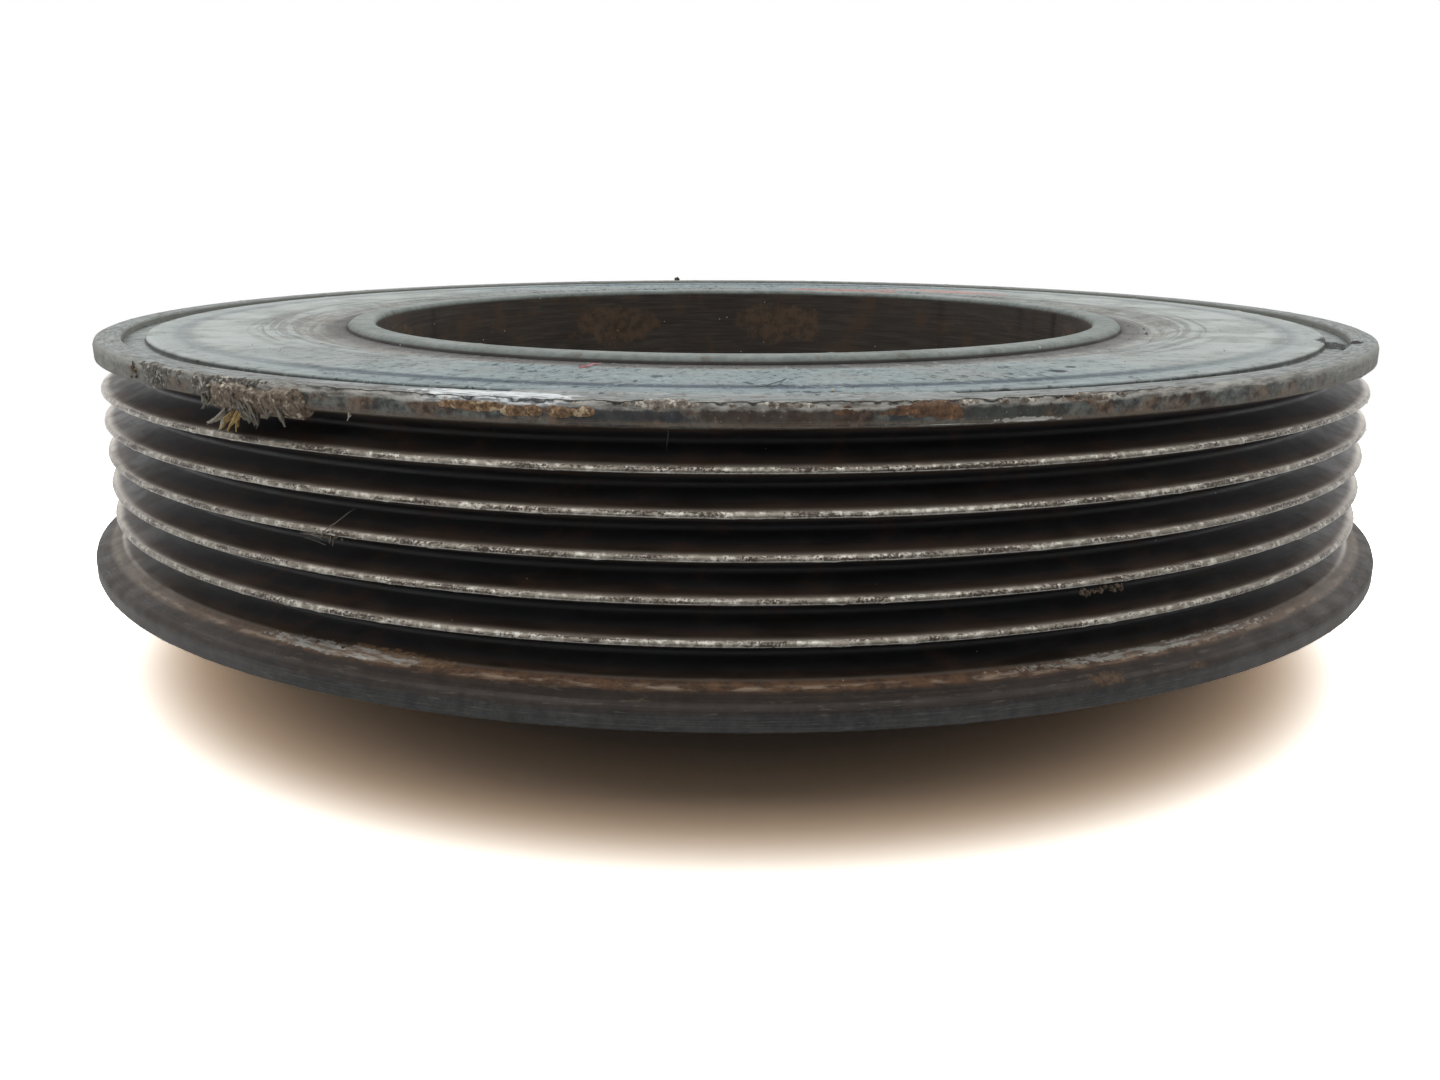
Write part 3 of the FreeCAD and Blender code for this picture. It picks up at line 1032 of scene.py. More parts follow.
# %% Material: rubber
def make_rubber_finish():
    material, tree, shader = new_material("rubber_finish")
    ring = use_group(tree, ring_coordinates)
    fine_rings = streaks(tree, ring, ring["Radius"], 7.0, 2.6, 5.0)
    clouds = noise(tree, ring["Point"], 0.12, 5.0, 0.6)
    mottle = noise(tree, ring["Point"], 0.9, 5.0, 0.65)
    grain = noise(tree, ring["Point"], 5.0, 3.0, 0.6)
    worn_film = noise(tree, ring["Point"], 0.16, 3.0, 0.55)
    sides = calc(tree, "ABSOLUTE", place(tree, "ShaderNodeSeparateXYZ", {0: ring["Point"]}).outputs[0])
    # Lighter towards both sides: a painted sheen on the facing.
    facing_sheen = rescale(tree, sides, 16.0, 62.0, 0.0, 0.75)

    base, dark_band = facing_colours(tree, ring, clouds, mottle, fine_rings, facing_sheen, worn_film)
    base = with_channel(tree, ring, base, mottle)
    base = with_trough_dirt(tree, ring, base, clouds, mottle)
    dark_spots, light_spots = pits_and_specks(tree, ring, sides)
    chips = chipped_places(tree, ring)
    cut = slanted_cut(tree, ring, mottle)
    scratches = streaks(tree, ring, ring["Radius"], 34.0, 4.5, 61.0)
    below = rescale(tree, ring["Height"], ring_front - 2.5, ring_front - 4.0)
    for mask, share, tone in (
            (dark_spots, 0.8, colour(40, 50, 58)),
            (light_spots, 0.5, colour(166, 178, 178)),
            (chips, 0.9, colour(30, 32, 33)),
            (cut, 1.0, colour(34, 38, 40)),
            (rescale(tree, scratches, 0.6, 0.68), 0.4, colour(172, 180, 180)),
            (speckle(tree, ring, 0.8, 0.1, 0.03), 0.5, colour(160, 160, 150)),
            (moulding_ridges(tree, ring, sides), 0.6, colour(78, 76, 70)),
            (red_smear(tree, ring), 0.55, colour(176, 104, 92)),
            (dust(tree, ring, 1.0, 0.3, 0.07), 1.0, colour(210, 208, 200)),
            (below, 1.0, colour(44, 41, 38))):
        base = mix(tree, calc(tree, "MULTIPLY", mask, share), base, tone)
    plug(tree, base, shader.inputs["Base Color"])

    marks = brightest(tree, chips, cut, calc(tree, "MULTIPLY", dark_spots, 0.8),
                      calc(tree, "MULTIPLY", dark_band, 0.6))
    rough = mix_values(tree, marks, rescale(tree, worn_film, 0.35, 0.65, 0.5, 0.62), 1.0)
    plug(tree, rough, shader.inputs["Roughness"])
    relief = calc(tree, "MULTIPLY_ADD", fine_rings, 0.5, calc(tree, "MULTIPLY", grain, 0.7))
    relief = calc(tree, "MULTIPLY_ADD", mottle, 1.6, relief)
    relief = calc(tree, "MULTIPLY_ADD", brightest(tree, dark_spots, chips, cut), -2.5, relief)
    bump = place(tree, "ShaderNodeBump", {"Strength": 0.6, "Distance": 0.08 * MM, "Height": relief})
    plug(tree, bump.outputs[0], shader.inputs["Normal"])
    return material


rubber_finish = make_rubber_finish()
print("material:", rubber_finish.name, "with", len(rubber_finish.node_tree.nodes), "nodes")

# %% [markdown]
# ## The rubber ring
#
# Its section is L-shaped: the spring that grips the tube, and the thin facing over the front with a
# trough at its inner edge and a step down to the channel beside the front flange. The blurred dark
# band round the facing is colour alone.

# %% Piece: rubber ring
def rubber_ring_corners():
    rear = ring_rear + spring_inset
    channel = ring_front - channel_depth
    trough = ring_front - trough_depth
    return [
        (tube_radius, rear, 0, 0),
        (spring_edge, rear, 0, 0),
        (spring_edge, rebate_floor, 0, 0),
        (rebate_radius, rebate_floor, 0, 0),
        (rebate_radius, channel, 0, 0),
        (facing_edge, channel, 0.2, 0),
        (facing_edge, facing_height, 0.25, 1.0),
        (spring_edge + trough_slope, facing_height, 0.8, 0),
        (spring_edge, trough, 0.6, 0),
        (tube_radius, trough, 0, 0),
    ]


rubber_ring = turn_piece("rubber_ring_moulded", rubber_ring_corners(), rubber_finish,
                         nick_depth=0.12, nick_size=2.2, nick_cover=0.4, seed=5.0, arc_steps=4)

# %% [markdown]
# ## The finish of the hub
#
# The lip is rubbed grey, the tube and the web still have their thin black coat, and the dish wall has
# started to rust in brown blooms. Painted shade darkens the tube's outer wall just under the lip.

# %% Material: hub
def make_hub_finish():
    material, tree, shader = new_material("hub_finish")
    ring = use_group(tree, ring_coordinates)
    radius = ring["Radius"]
    height = ring["Height"]
    both_ways = calc(tree, "ADD", radius, height)
    fine_rings = streaks(tree, ring, both_ways, 6.0, 4.0, 7.0)
    face_rings = streaks(tree, ring, both_ways, 6.0, 1.4, 19.0)
    clouds = noise(tree, ring["Point"], 0.16, 5.0, 0.6)
    mottle = noise(tree, ring["Point"], 0.8, 4.0, 0.65)

    coat = mix(tree, rescale(tree, fine_rings, 0.35, 0.65), colour(40, 34, 28), colour(62, 54, 46))
    coat = mix(tree, rescale(tree, face_rings, 0.5, 0.7, 0.0, 0.5), coat, colour(84, 78, 72))
    base = mix(tree, rescale(tree, clouds, 0.5, 0.68, 0.0, 0.7), coat, colour(82, 62, 46))
    blooms = brightest(
        tree,
        patch(tree, ring, "Height", -155.0, 10.0, 34.4, 3.2, 0.5, 0.28),
        patch(tree, ring, "Height", 170.0, 9.5, 34.6, 3.4, 0.5, 0.28),
        patch(tree, ring, "Height", -98.0, 4.0, 36.6, 1.6, 0.6, 0.4),
        patch(tree, ring, "Height", 95.0, 4.0, 36.6, 1.6, 0.6, 0.4))
    bloom_tone = mix(tree, rescale(tree, mottle, 0.36, 0.62), colour(62, 48, 37), colour(98, 78, 58))
    base = mix(tree, calc(tree, "MULTIPLY", blooms, 0.75), base, bloom_tone)
    lip = rescale(tree, height, lip_height - 0.75, lip_height - 0.3)
    lip_colour = mix(tree, rescale(tree, mottle, 0.35, 0.65), colour(98, 106, 102), colour(118, 126, 121))
    stains = rescale(tree, noise(tree, ring["Point"], 0.5, 4.0, 0.6), 0.56, 0.66, 0.0, 0.6)
    lip_colour = mix(tree, stains, lip_colour, colour(88, 76, 62))
    base = mix(tree, lip, base, lip_colour)
    # Dark on the tube's outer wall under the lip: painted shade above the trough.
    side = rescale(tree, height, lip_height - 0.42, lip_height - 0.6)
    outside = both(tree, side, rescale(tree, radius, tube_radius - 0.6, tube_radius - 0.2))
    base = mix(tree, calc(tree, "MULTIPLY", outside, 0.95), base, colour(36, 31, 26))
    base = mix(tree, dust(tree, ring, 1.3, 0.25, 0.08), base, colour(200, 196, 186))
    plug(tree, base, shader.inputs["Base Color"])
    plug(tree, rescale(tree, clouds, 0.3, 0.7, 0.5, 0.74), shader.inputs["Roughness"])
    grain = noise(tree, ring["Point"], 3.0, 4.0, 0.6)
    relief = calc(tree, "MULTIPLY_ADD", fine_rings, 0.4, calc(tree, "MULTIPLY", grain, 0.5))
    bump = place(tree, "ShaderNodeBump", {"Strength": 0.5, "Distance": 0.06 * MM, "Height": relief})
    plug(tree, bump.outputs[0], shader.inputs["Normal"])
    return material


hub_finish = make_hub_finish()
print("material:", hub_finish.name, "with", len(hub_finish.node_tree.nodes), "nodes")

# %% [markdown]
# ## The dished hub
#
# Foot, neck, tube and web are one outline again. The four bolt holes are not round about the part's
# axis, so no lathe makes them: they are drilled with a Boolean modifier. The cutter has a small
# flare at both faces, which leaves each hole with a chamfer.

# %% Piece: hub
def hub_corners():
    neck_top = foot_land + neck_length
    dish_radius = tube_radius - tube_wall
    dish_floor_radius = foot_radius - tube_wall
    return [
        (pilot_radius, 0, 0.8, 0.3),
        (foot_radius, 0, 1.5, 0.4),
        (foot_radius, foot_land, 0.5, 0.2),
        (tube_radius, neck_top, 1.5, 0),
        (tube_radius, lip_height, 0.9, 0.8),
        (dish_radius, lip_height, 0.6, 0.8),
        (dish_radius, neck_top, 2.0, 0),
        (dish_floor_radius, web_thickness + dish_corner_height, 1.5, 0),
        (dish_floor_radius - dish_corner_width, web_thickness, 1.5, 0),
        (pilot_radius, web_thickness, 0.4, 0.5),
    ]


def drill(piece, holes, hole_radius, low, high, flare):
    """Drills round holes along Z. A hole is its centre (x, y); the flare leaves a chamfer."""
    work = bmesh.new()
    sides = 64
    beyond = 1
    for x, y in holes:
        rings = []
        for height, wide in ((low - beyond, beyond + flare), (low, flare), (low + flare, 0),
                             (high - flare, 0), (high, flare), (high + beyond, beyond + flare)):
            turns = [math.tau * side / sides for side in range(sides)]
            reach = hole_radius + wide
            rings.append([work.verts.new(((x + reach * math.cos(turn)) * MM,
                                          (y + reach * math.sin(turn)) * MM, height * MM))
                          for turn in turns])
        for lower, upper in zip(rings, rings[1:]):
            for side in range(sides):
                following = (side + 1) % sides
                work.faces.new((lower[side], lower[following], upper[following], upper[side]))
        work.faces.new(list(reversed(rings[0])))
        work.faces.new(rings[-1])
    mesh = bpy.data.meshes.new("drill")
    work.to_mesh(mesh)
    work.free()
    cutter = bpy.data.objects.new("drill", mesh)
    bpy.context.scene.collection.objects.link(cutter)
    modifier = piece.modifiers.new("Holes", "BOOLEAN")
    modifier.object = cutter
    modifier.operation = "DIFFERENCE"
    modifier.solver = "EXACT"
    bpy.context.view_layer.update()
    depsgraph = bpy.context.evaluated_depsgraph_get()
    drilled = bpy.data.meshes.new_from_object(piece.evaluated_get(depsgraph))
    piece.modifiers.remove(modifier)
    piece.data = drilled
    bpy.data.objects.remove(cutter)


hub = turn_piece("hub_turned", hub_corners(), hub_finish, nick_depth=0.08, nick_size=1.8,
                 nick_cover=0.35, seed=8.0, steps_around=540, arc_steps=4)
bolt_turns = [math.tau * index / bolt_count for index in range(bolt_count)]
bolt_centres = [(bolt_circle_radius * math.cos(turn), bolt_circle_radius * math.sin(turn))
                for turn in bolt_turns]
drill(hub, bolt_centres, bolt_hole_radius, 0, web_thickness, bolt_hole_flare)
give_finish(hub.data, hub_finish)
print("hub_turned after drilling:", face_outwards(hub.data))

# %% [markdown]
# ## The inertia ring
#
# The heavy ring between rubber and belt ring hardly shows, and its plain solid already has the
# right shape. It stays as it came, and only gets its material: cast iron under a brown film.

# %% Material: inertia ring
def make_inertia_finish():
    material, tree, shader = new_material("inertia_finish")
    ring = use_group(tree, ring_coordinates)
    clouds = noise(tree, ring["Point"], 0.25, 5.0, 0.65)
    grain = noise(tree, ring["Point"], 2.2, 4.0, 0.65)
    face_rings = streaks(tree, ring, ring["Radius"], 5.0, 1.4, 23.0)
    base = mix(tree, rescale(tree, clouds, 0.35, 0.65), colour(58, 50, 44), colour(88, 66, 48))
    base = mix(tree, rescale(tree, face_rings, 0.5, 0.7, 0.0, 0.5), base, colour(104, 98, 92))
    base = mix(tree, speckle(tree, ring, 0.9, 0.2, 0.1), base, colour(36, 28, 22))
    plug(tree, base, shader.inputs["Base Color"])
    plug(tree, rescale(tree, clouds, 0.3, 0.7, 0.55, 0.85), shader.inputs["Roughness"])
    bump = place(tree, "ShaderNodeBump", {"Strength": 0.6, "Distance": 0.1 * MM, "Height": grain})
    plug(tree, bump.outputs[0], shader.inputs["Normal"])
    return material


inertia_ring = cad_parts["inertia_ring"]
inertia_ring.data.materials.clear()
inertia_ring.data.materials.append(make_inertia_finish())
print("inertia_ring keeps its solid, with", len(inertia_ring.data.polygons), "faces")

# %% [markdown]
# ## Crust
#
# Parts of the front flange are not smooth metal any more: rust, grit and smeared belt dust have
# built up in lumps. Each crust is a piece of its own. It starts as a short turned strip that
# follows the flange, finely divided, and a second tree moves it along its normals: outwards where
# noise makes a lump, and down below the metal everywhere else, so that only lumps show.

# %% Geometry Nodes: crust
def build_crust_tree():
    tree = bpy.data.node_groups.new("Crust", "GeometryNodeTree")
    tree.is_modifier = True
    for title, kind in (("Strip", "NodeSocketGeometry"), ("Lump height", "NodeSocketFloat"),
                        ("Lump size", "NodeSocketFloat"), ("Cover", "NodeSocketFloat"),
                        ("Seed", "NodeSocketFloat"), ("Finish", "NodeSocketMaterial")):
        tree.interface.new_socket(title, in_out="INPUT", socket_type=kind)
    tree.interface.new_socket("Crust", in_out="OUTPUT", socket_type="NodeSocketGeometry")
    given = tree.nodes.new("NodeGroupInput").outputs
    result = tree.nodes.new("NodeGroupOutput").inputs

    here = place(tree, "GeometryNodeInputPosition").outputs[0]
    place_in_noise = scaled(tree, here, calc(tree, "DIVIDE", 1.0, given["Lump size"]))
    lift = place(tree, "ShaderNodeCombineXYZ", {2: given["Seed"]}).outputs[0]
    place_in_noise = vector_calc(tree, "ADD", place_in_noise, lift)
    lumps = noise(tree, place_in_noise, 1.0, 4.0, 0.62)
    islands = noise(tree, place_in_noise, 0.3, 2.0, 0.5)
    lumps = calc(tree, "MULTIPLY_ADD", islands, 0.8, calc(tree, "MULTIPLY", lumps, 0.6))
    edge = place(tree, "GeometryNodeInputNamedAttribute", {"Name": "edge"}, data_type="FLOAT")
    along = place(tree, "GeometryNodeInputNamedAttribute", {"Name": "along"}, data_type="FLOAT")
    start = rescale(tree, along.outputs[0], 0.0, 0.25)
    end = rescale(tree, along.outputs[0], 1.0, 0.75)
    inside = both(tree, start, end, edge.outputs[0])
    lumps = calc(tree, "ADD", lumps, calc(tree, "MULTIPLY_ADD", inside, 0.3, -0.3))
    cut = calc(tree, "SUBTRACT", 1.0, calc(tree, "MULTIPLY", given["Cover"], 0.6))
    lumps = rescale(tree, lumps, calc(tree, "SUBTRACT", cut, 0.1), calc(tree, "ADD", cut, 0.14))
    hold = both(tree, lumps, rescale(tree, inside, 0.0, 0.15))
    rise = calc(tree, "MULTIPLY_ADD", hold, 1.35, -0.35)
    offset = scaled(tree, place(tree, "GeometryNodeInputNormal").outputs[0],
                    calc(tree, "MULTIPLY", rise, given["Lump height"]))
    moved = place(tree, "GeometryNodeSetPosition", {"Geometry": given["Strip"], "Offset": offset})
    smooth = place(tree, "GeometryNodeSetShadeSmooth", {"Geometry": moved.outputs[0]})
    real = place(tree, "GeometryNodeRealizeInstances", {"Geometry": smooth.outputs[0]})
    finish = place(tree, "GeometryNodeSetMaterial", {"Geometry": real.outputs[0],
                   "Material": given["Finish"]})
    plug(tree, finish.outputs[0], result["Crust"])
    return tree


crust_tree = build_crust_tree()
print("geometry nodes:", crust_tree.name)

# %% Material: crust
def make_crust_finish(name, dark, middle, pale, pale_share, grain):
    """Lumps in three tones: dark in the dips, pale on some of the tops."""
    material, tree, shader = new_material(name)
    ring = use_group(tree, ring_coordinates)
    coarse = noise(tree, ring["Point"], 0.8, 4.0, 0.6)
    fine = noise(tree, ring["Point"], grain, 4.0, 0.65)
    base = mix(tree, rescale(tree, fine, 0.3, 0.6), dark, middle)
    flecks = rescale(tree, calc(tree, "MULTIPLY_ADD", coarse, 0.5, calc(tree, "MULTIPLY", fine, 0.5)),
                     0.62 - pale_share * 0.2, 0.7 - pale_share * 0.2)
    base = mix(tree, flecks, base, pale)
    plug(tree, base, shader.inputs["Base Color"])
    plug(tree, rescale(tree, fine, 0.35, 0.65, 0.85, 0.5), shader.inputs["Roughness"])
    bump = place(tree, "ShaderNodeBump", {"Strength": 0.5, "Distance": 0.06 * MM, "Height": fine})
    plug(tree, bump.outputs[0], shader.inputs["Normal"])
    return material


grey_crust_finish = make_crust_finish("grey_crust_finish", colour(52, 46, 41), colour(92, 88, 80),
                                      colour(186, 182, 170), 0.4, 2.6)
brown_crust_finish = make_crust_finish("brown_crust_finish", colour(62, 51, 42), colour(114, 99, 82),
                                       colour(192, 184, 166), 0.35, 2.6)
ochre_crust_finish = make_crust_finish("ochre_crust_finish", colour(70, 54, 42), colour(132, 102, 70),
                                       colour(186, 166, 134), 0.5, 2.4)
copper_crust_finish = make_crust_finish("copper_crust_finish", colour(64, 46, 36),
                                        colour(104, 76, 52), colour(156, 112, 74), 0.3, 1.3)
cream_crust_finish = make_crust_finish("cream_crust_finish", colour(70, 60, 52),
                                       colour(134, 126, 114), colour(212, 205, 192), 0.5, 2.0)
print("crust materials: grey, brown, ochre, copper and cream")

# %% Pieces: crust on the front flange
crust_step = 0.14
crust_width = 1.2
fade_across = 0.5
fade_upwards = 0.7
flange_strip = [
    (front_flange_edge - 2.0, ring_front, 0, 0),
    (front_flange_edge, ring_front, 0.55, 0),
    (front_flange_edge, groove_top + 0.1, 0.15, 0),
    (front_flange_edge - 0.6, groove_top - 0.1, 0, 0),
]


def strip_section(corners, from_height, to_height):
    """The open outline of the flange in short steps, holding crust between two heights."""
    points = rounded(corners)[0][:-1]
    fine = []
    for start, end in zip(points, points[1:]):
        count = max(1, math.ceil((end - start).length / crust_step))
        fine += [start.lerp(end, step / count) for step in range(count)]
    fine.append(points[-1])
    hold = []
    for point in fine:
        above = (point.y - from_height) / fade_upwards
        below = (to_height - point.y) / fade_upwards
        inwards = (point.x - (front_flange_edge - crust_width)) / fade_across
        hold.append(max(0.0, min(1.0, above, below, inwards)))
    return fine, hold


def turned_strip(name, section, steps, from_turn, to_turn, finish):
    """The plain mesh that an open section sweeps between two turns, in degrees from the front."""
    strip = apply_nodes(name + "_strip", section, turning_tree, {
        "Steps": steps, "From": math.radians(from_turn - 90), "To": math.radians(to_turn - 90),
        "Nick depth": 0.0, "Nick size": 1.0, "Nick cover": 0.0, "Seed": 0.0, "Finish": finish})
    mesh = strip.data
    bpy.data.objects.remove(strip)
    return mesh


def crust_piece(name, from_turn, to_turn, from_height, to_height, lump_height, lump_size, cover,
                seed, finish):
    """A strip of crust between two turns, in degrees from the front, and two heights."""
    section = section_mesh(name, *strip_section(flange_strip, from_height, to_height))
    length = math.radians(to_turn - from_turn) * front_flange_edge
    mesh = turned_strip(name, section, round(length / crust_step), from_turn, to_turn, finish)
    middle = mesh.polygons[len(mesh.polygons) // 2]
    if middle.normal.x * middle.center.x + middle.normal.y * middle.center.y < 0:
        mesh.flip_normals()
    piece = apply_nodes(name, mesh, crust_tree, {
        "Lump height": lump_height * MM, "Lump size": lump_size * MM, "Cover": cover, "Seed": seed,
        "Finish": finish})
    print(f"{name}: {len(piece.data.polygons)} faces")
    return piece


# Each has its name, two turns, two heights, its lumps' height and size, its cover, seed and finish
crusts = [
    crust_piece("crust_grey", -51.0, -24.0, 37.2, 40.5, 0.2, 1.7, 0.47, 3.0, grey_crust_finish),
    crust_piece("crust_clump", -38.6, -24.8, 36.9, 39.7, 0.9, 1.8, 0.74, 8.0, brown_crust_finish),
    crust_piece("crust_ochre_streak", -19.4, -12.8, 38.7, 39.6, 0.1, 1.6, 0.8, 12.0, ochre_crust_finish),
    crust_piece("crust_ochre_lump", -13.8, -10.4, 38.4, 39.6, 0.2, 2.0, 0.78, 14.0, ochre_crust_finish),
    crust_piece("crust_ochre_blob", -11.2, -7.4, 38.3, 39.7, 0.28, 2.2, 0.82, 17.0, ochre_crust_finish),
    crust_piece("crust_copper", 3.4, 14.2, 38.2, 39.95, 0.08, 1.5, 0.6, 22.0, copper_crust_finish),
    crust_piece("crust_cream", 7.0, 29.0, 39.0, 40.4, 0.16, 0.9, 0.54, 33.0, cream_crust_finish),
    crust_piece("crust_arris", -9.0, 8.0, 39.0, 40.3, 0.08, 0.7, 0.53, 41.0, cream_crust_finish),
]

# %% [markdown]
# ## A packed stretch of the channel
#
# At the front of the pulley, dirt fills the channel between the facing and the flange, and the dark
# line beside the facing stops there. The fill is a crust again: a strip along the channel's floor,
# with cover above 1, so that it rises almost everywhere and fades out at both ends.

# %% Piece: the packed stretch of the channel
packed_turn = 16
steps_across = 12
steps_along = 160


def make_packed_channel():
    """Dirt fills the channel level with the facing for a short way at the front."""
    inner = Vector((facing_edge - 0.05, ring_front - channel_depth))
    outer = Vector((rebate_radius + 0.05, ring_front - channel_depth))
    points = [inner.lerp(outer, step / steps_across) for step in range(steps_across + 1)]
    section = section_mesh("packed_strip", points, [1.0] * len(points))
    mesh = turned_strip("packed", section, steps_along, -packed_turn, packed_turn, rubber_finish)
    if mesh.polygons[0].normal.z < 0:
        mesh.flip_normals()
    fill = channel_depth - (ring_front - facing_height)
    return apply_nodes("packed_channel", mesh, crust_tree, {
        "Lump height": (fill + 0.02) * MM, "Lump size": 4.0 * MM, "Cover": 1.3, "Seed": 2.0,
        "Finish": rubber_finish})


packed_channel = make_packed_channel()
print("packed_channel:", len(packed_channel.data.polygons), "faces")

# %% [markdown]
# ## Torn fibres
#
# The belt left a clump of torn cord and rubber hanging from the front flange. A fibre is one short
# line with a taper. The tree stands a copy on every root point, turns it to the aim and stretches it
# to the reach that the point carries, and then lets noise bend the free ends. The roots are
# scattered by Python with a fixed seed, because where the fibres sit is a choice and not a rule.

# %% Geometry Nodes: fibres
def build_fibre_tree():
    tree = bpy.data.node_groups.new("Fibres", "GeometryNodeTree")
    tree.is_modifier = True
    for title, kind in (("Roots", "NodeSocketGeometry"), ("Thickness", "NodeSocketFloat"),
                        ("Curl", "NodeSocketFloat"), ("Curl size", "NodeSocketFloat"),
                        ("Finish", "NodeSocketMaterial")):
        tree.interface.new_socket(title, in_out="INPUT", socket_type=kind)
    tree.interface.new_socket("Fibres", in_out="OUTPUT", socket_type="NodeSocketGeometry")
    given = tree.nodes.new("NodeGroupInput").outputs
    result = tree.nodes.new("NodeGroupOutput").inputs

    line = place(tree, "GeometryNodeCurvePrimitiveLine", {"Start": (0, 0, 0), "End": (0, 0, 1)})
    spine = place(tree, "GeometryNodeResampleCurve", {"Curve": line.outputs[0], "Count": 8})
    factor = place(tree, "GeometryNodeSplineParameter").outputs["Factor"]
    spine = place(tree, "GeometryNodeStoreNamedAttribute", {"Geometry": spine.outputs[0],
                  "Name": "way_out", "Value": factor}, data_type="FLOAT", domain="POINT")
    circle = place(tree, "GeometryNodeCurvePrimitiveCircle", {"Resolution": 6, "Radius": 1.0})
    taper = calc(tree, "SUBTRACT", 1.0, calc(tree, "MULTIPLY", factor, 0.8))
    fibre = place(tree, "GeometryNodeCurveToMesh", {"Curve": spine.outputs[0],
                  "Profile Curve": circle.outputs[0], "Scale": taper, "Fill Caps": True})

    aim = place(tree, "GeometryNodeInputNamedAttribute", {"Name": "aim"}, data_type="FLOAT_VECTOR")
    reach = place(tree, "GeometryNodeInputNamedAttribute", {"Name": "reach"}, data_type="FLOAT")
    turned = place(tree, "FunctionNodeAlignRotationToVector", {"Vector": aim.outputs[0]}, axis="Z")
    spread = place(tree, "FunctionNodeRandomValue", {"Min": 0.5, "Max": 1.4, "Seed": 4},
                   data_type="FLOAT")
    width = calc(tree, "MULTIPLY", given["Thickness"], spread.outputs["Value"])
    flat = calc(tree, "MULTIPLY", width, 0.45)
    size = place(tree, "ShaderNodeCombineXYZ", {0: width, 1: flat, 2: reach.outputs[0]}).outputs[0]
    copies = place(tree, "GeometryNodeInstanceOnPoints", {"Points": given["Roots"],
                   "Instance": fibre.outputs[0], "Rotation": turned.outputs[0], "Scale": size})
    real = place(tree, "GeometryNodeRealizeInstances", {"Geometry": copies.outputs[0]})

    here = place(tree, "GeometryNodeInputPosition").outputs[0]
    place_in_noise = scaled(tree, here, calc(tree, "DIVIDE", 1.0, given["Curl size"]))
    bend = place(tree, "ShaderNodeTexNoise", {"Vector": place_in_noise, "Scale": 1.0, "Detail": 2.0})
    bend = vector_calc(tree, "SUBTRACT", bend.outputs["Color"], (0.5, 0.5, 0.5))
    way_out = place(tree, "GeometryNodeInputNamedAttribute", {"Name": "way_out"}, data_type="FLOAT")
    sway = calc(tree, "MULTIPLY", way_out.outputs[0], given["Curl"])
    bent = place(tree, "GeometryNodeSetPosition", {"Geometry": real.outputs[0],
                 "Offset": scaled(tree, bend, sway)})
    smooth = place(tree, "GeometryNodeSetShadeSmooth", {"Geometry": bent.outputs[0]})
    finish = place(tree, "GeometryNodeSetMaterial", {"Geometry": smooth.outputs[0],
                   "Material": given["Finish"]})
    plug(tree, finish.outputs[0], result["Fibres"])
    return tree


fibre_tree = build_fibre_tree()
print("geometry nodes:", fibre_tree.name)

# %% Material: fibres
def make_fibre_finish(name, root_colour, tip_colour):
    """A matt thread, lighter towards its tip, with a tone of its own on each fibre."""
    material, tree, shader = new_material(name)
    ring = use_group(tree, ring_coordinates)
    way_out = place(tree, "ShaderNodeAttribute", attribute_name="way_out").outputs["Fac"]
    tone = place(tree, "ShaderNodeAttribute", attribute_name="tone").outputs["Fac"]
    dirt = noise(tree, ring["Point"], 1.5, 4.0, 0.6)
    base = mix(tree, way_out, root_colour, tip_colour)
    base = mix(tree, rescale(tree, tone, 0.2, 0.8), base, tip_colour)
    base = mix(tree, rescale(tree, dirt, 0.5, 0.66, 0.0, 0.7), base, colour(58, 48, 40))
    plug(tree, base, shader.inputs["Base Color"])
    shader.inputs["Roughness"].default_value = 0.55
    return material


grey_fibre_finish = make_fibre_finish("grey_fibre_finish", colour(74, 66, 58), colour(134, 128, 116))
golden_fibre_finish = make_fibre_finish("golden_fibre_finish", colour(120, 92, 50), colour(196, 166, 106))
pale_fibre_finish = make_fibre_finish("pale_fibre_finish", colour(104, 94, 82), colour(190, 182, 166))
dark_fibre_finish = make_fibre_finish("dark_fibre_finish", colour(46, 42, 38), colour(92, 86, 78))
pink_fibre_finish = make_fibre_finish("pink_fibre_finish", colour(196, 96, 108), colour(226, 148, 156))
print("fibre materials: grey, golden, pale, dark and pink")

# %% Fibre helpers
def on_ring(turn, radius, height):
    """A place on the pulley, in metres. Turn is in degrees from the front, towards +X."""
    angle = math.radians(turn)
    return Vector((radius * math.sin(angle), -radius * math.cos(angle), height)) * MM


def point_mesh(name, places, attributes):
    """Loose points with attributes for a tree to read."""
    mesh = bpy.data.meshes.new(name)
    mesh.from_pydata(places, [], [])
    for title, values in attributes.items():
        is_vector = isinstance(values[0], Vector)
        kind = "FLOAT_VECTOR" if is_vector else "FLOAT"
        attribute = mesh.attributes.new(title, kind, "POINT")
        if is_vector:
            attribute.data.foreach_set("vector", [part for value in values for part in value])
        else:
            attribute.data.foreach_set("value", values)
    return mesh


def fibre_piece(name, fibres, thickness, curl, curl_size, finish):
    """Fibres from a list of (place, aim, reach in mm, tone)."""
    places, aims, reaches, tones = zip(*fibres)
    mesh = point_mesh(name, places, {"aim": list(aims), "reach": [reach * MM for reach in reaches],
                                     "tone": list(tones)})
    piece = apply_nodes(name, mesh, fibre_tree, {
        "Thickness": thickness * MM, "Curl": curl * MM, "Curl size": curl_size * MM, "Finish": finish})
    print(f"{name}: {len(fibres)} fibres, {len(piece.data.polygons)} faces")
    return piece


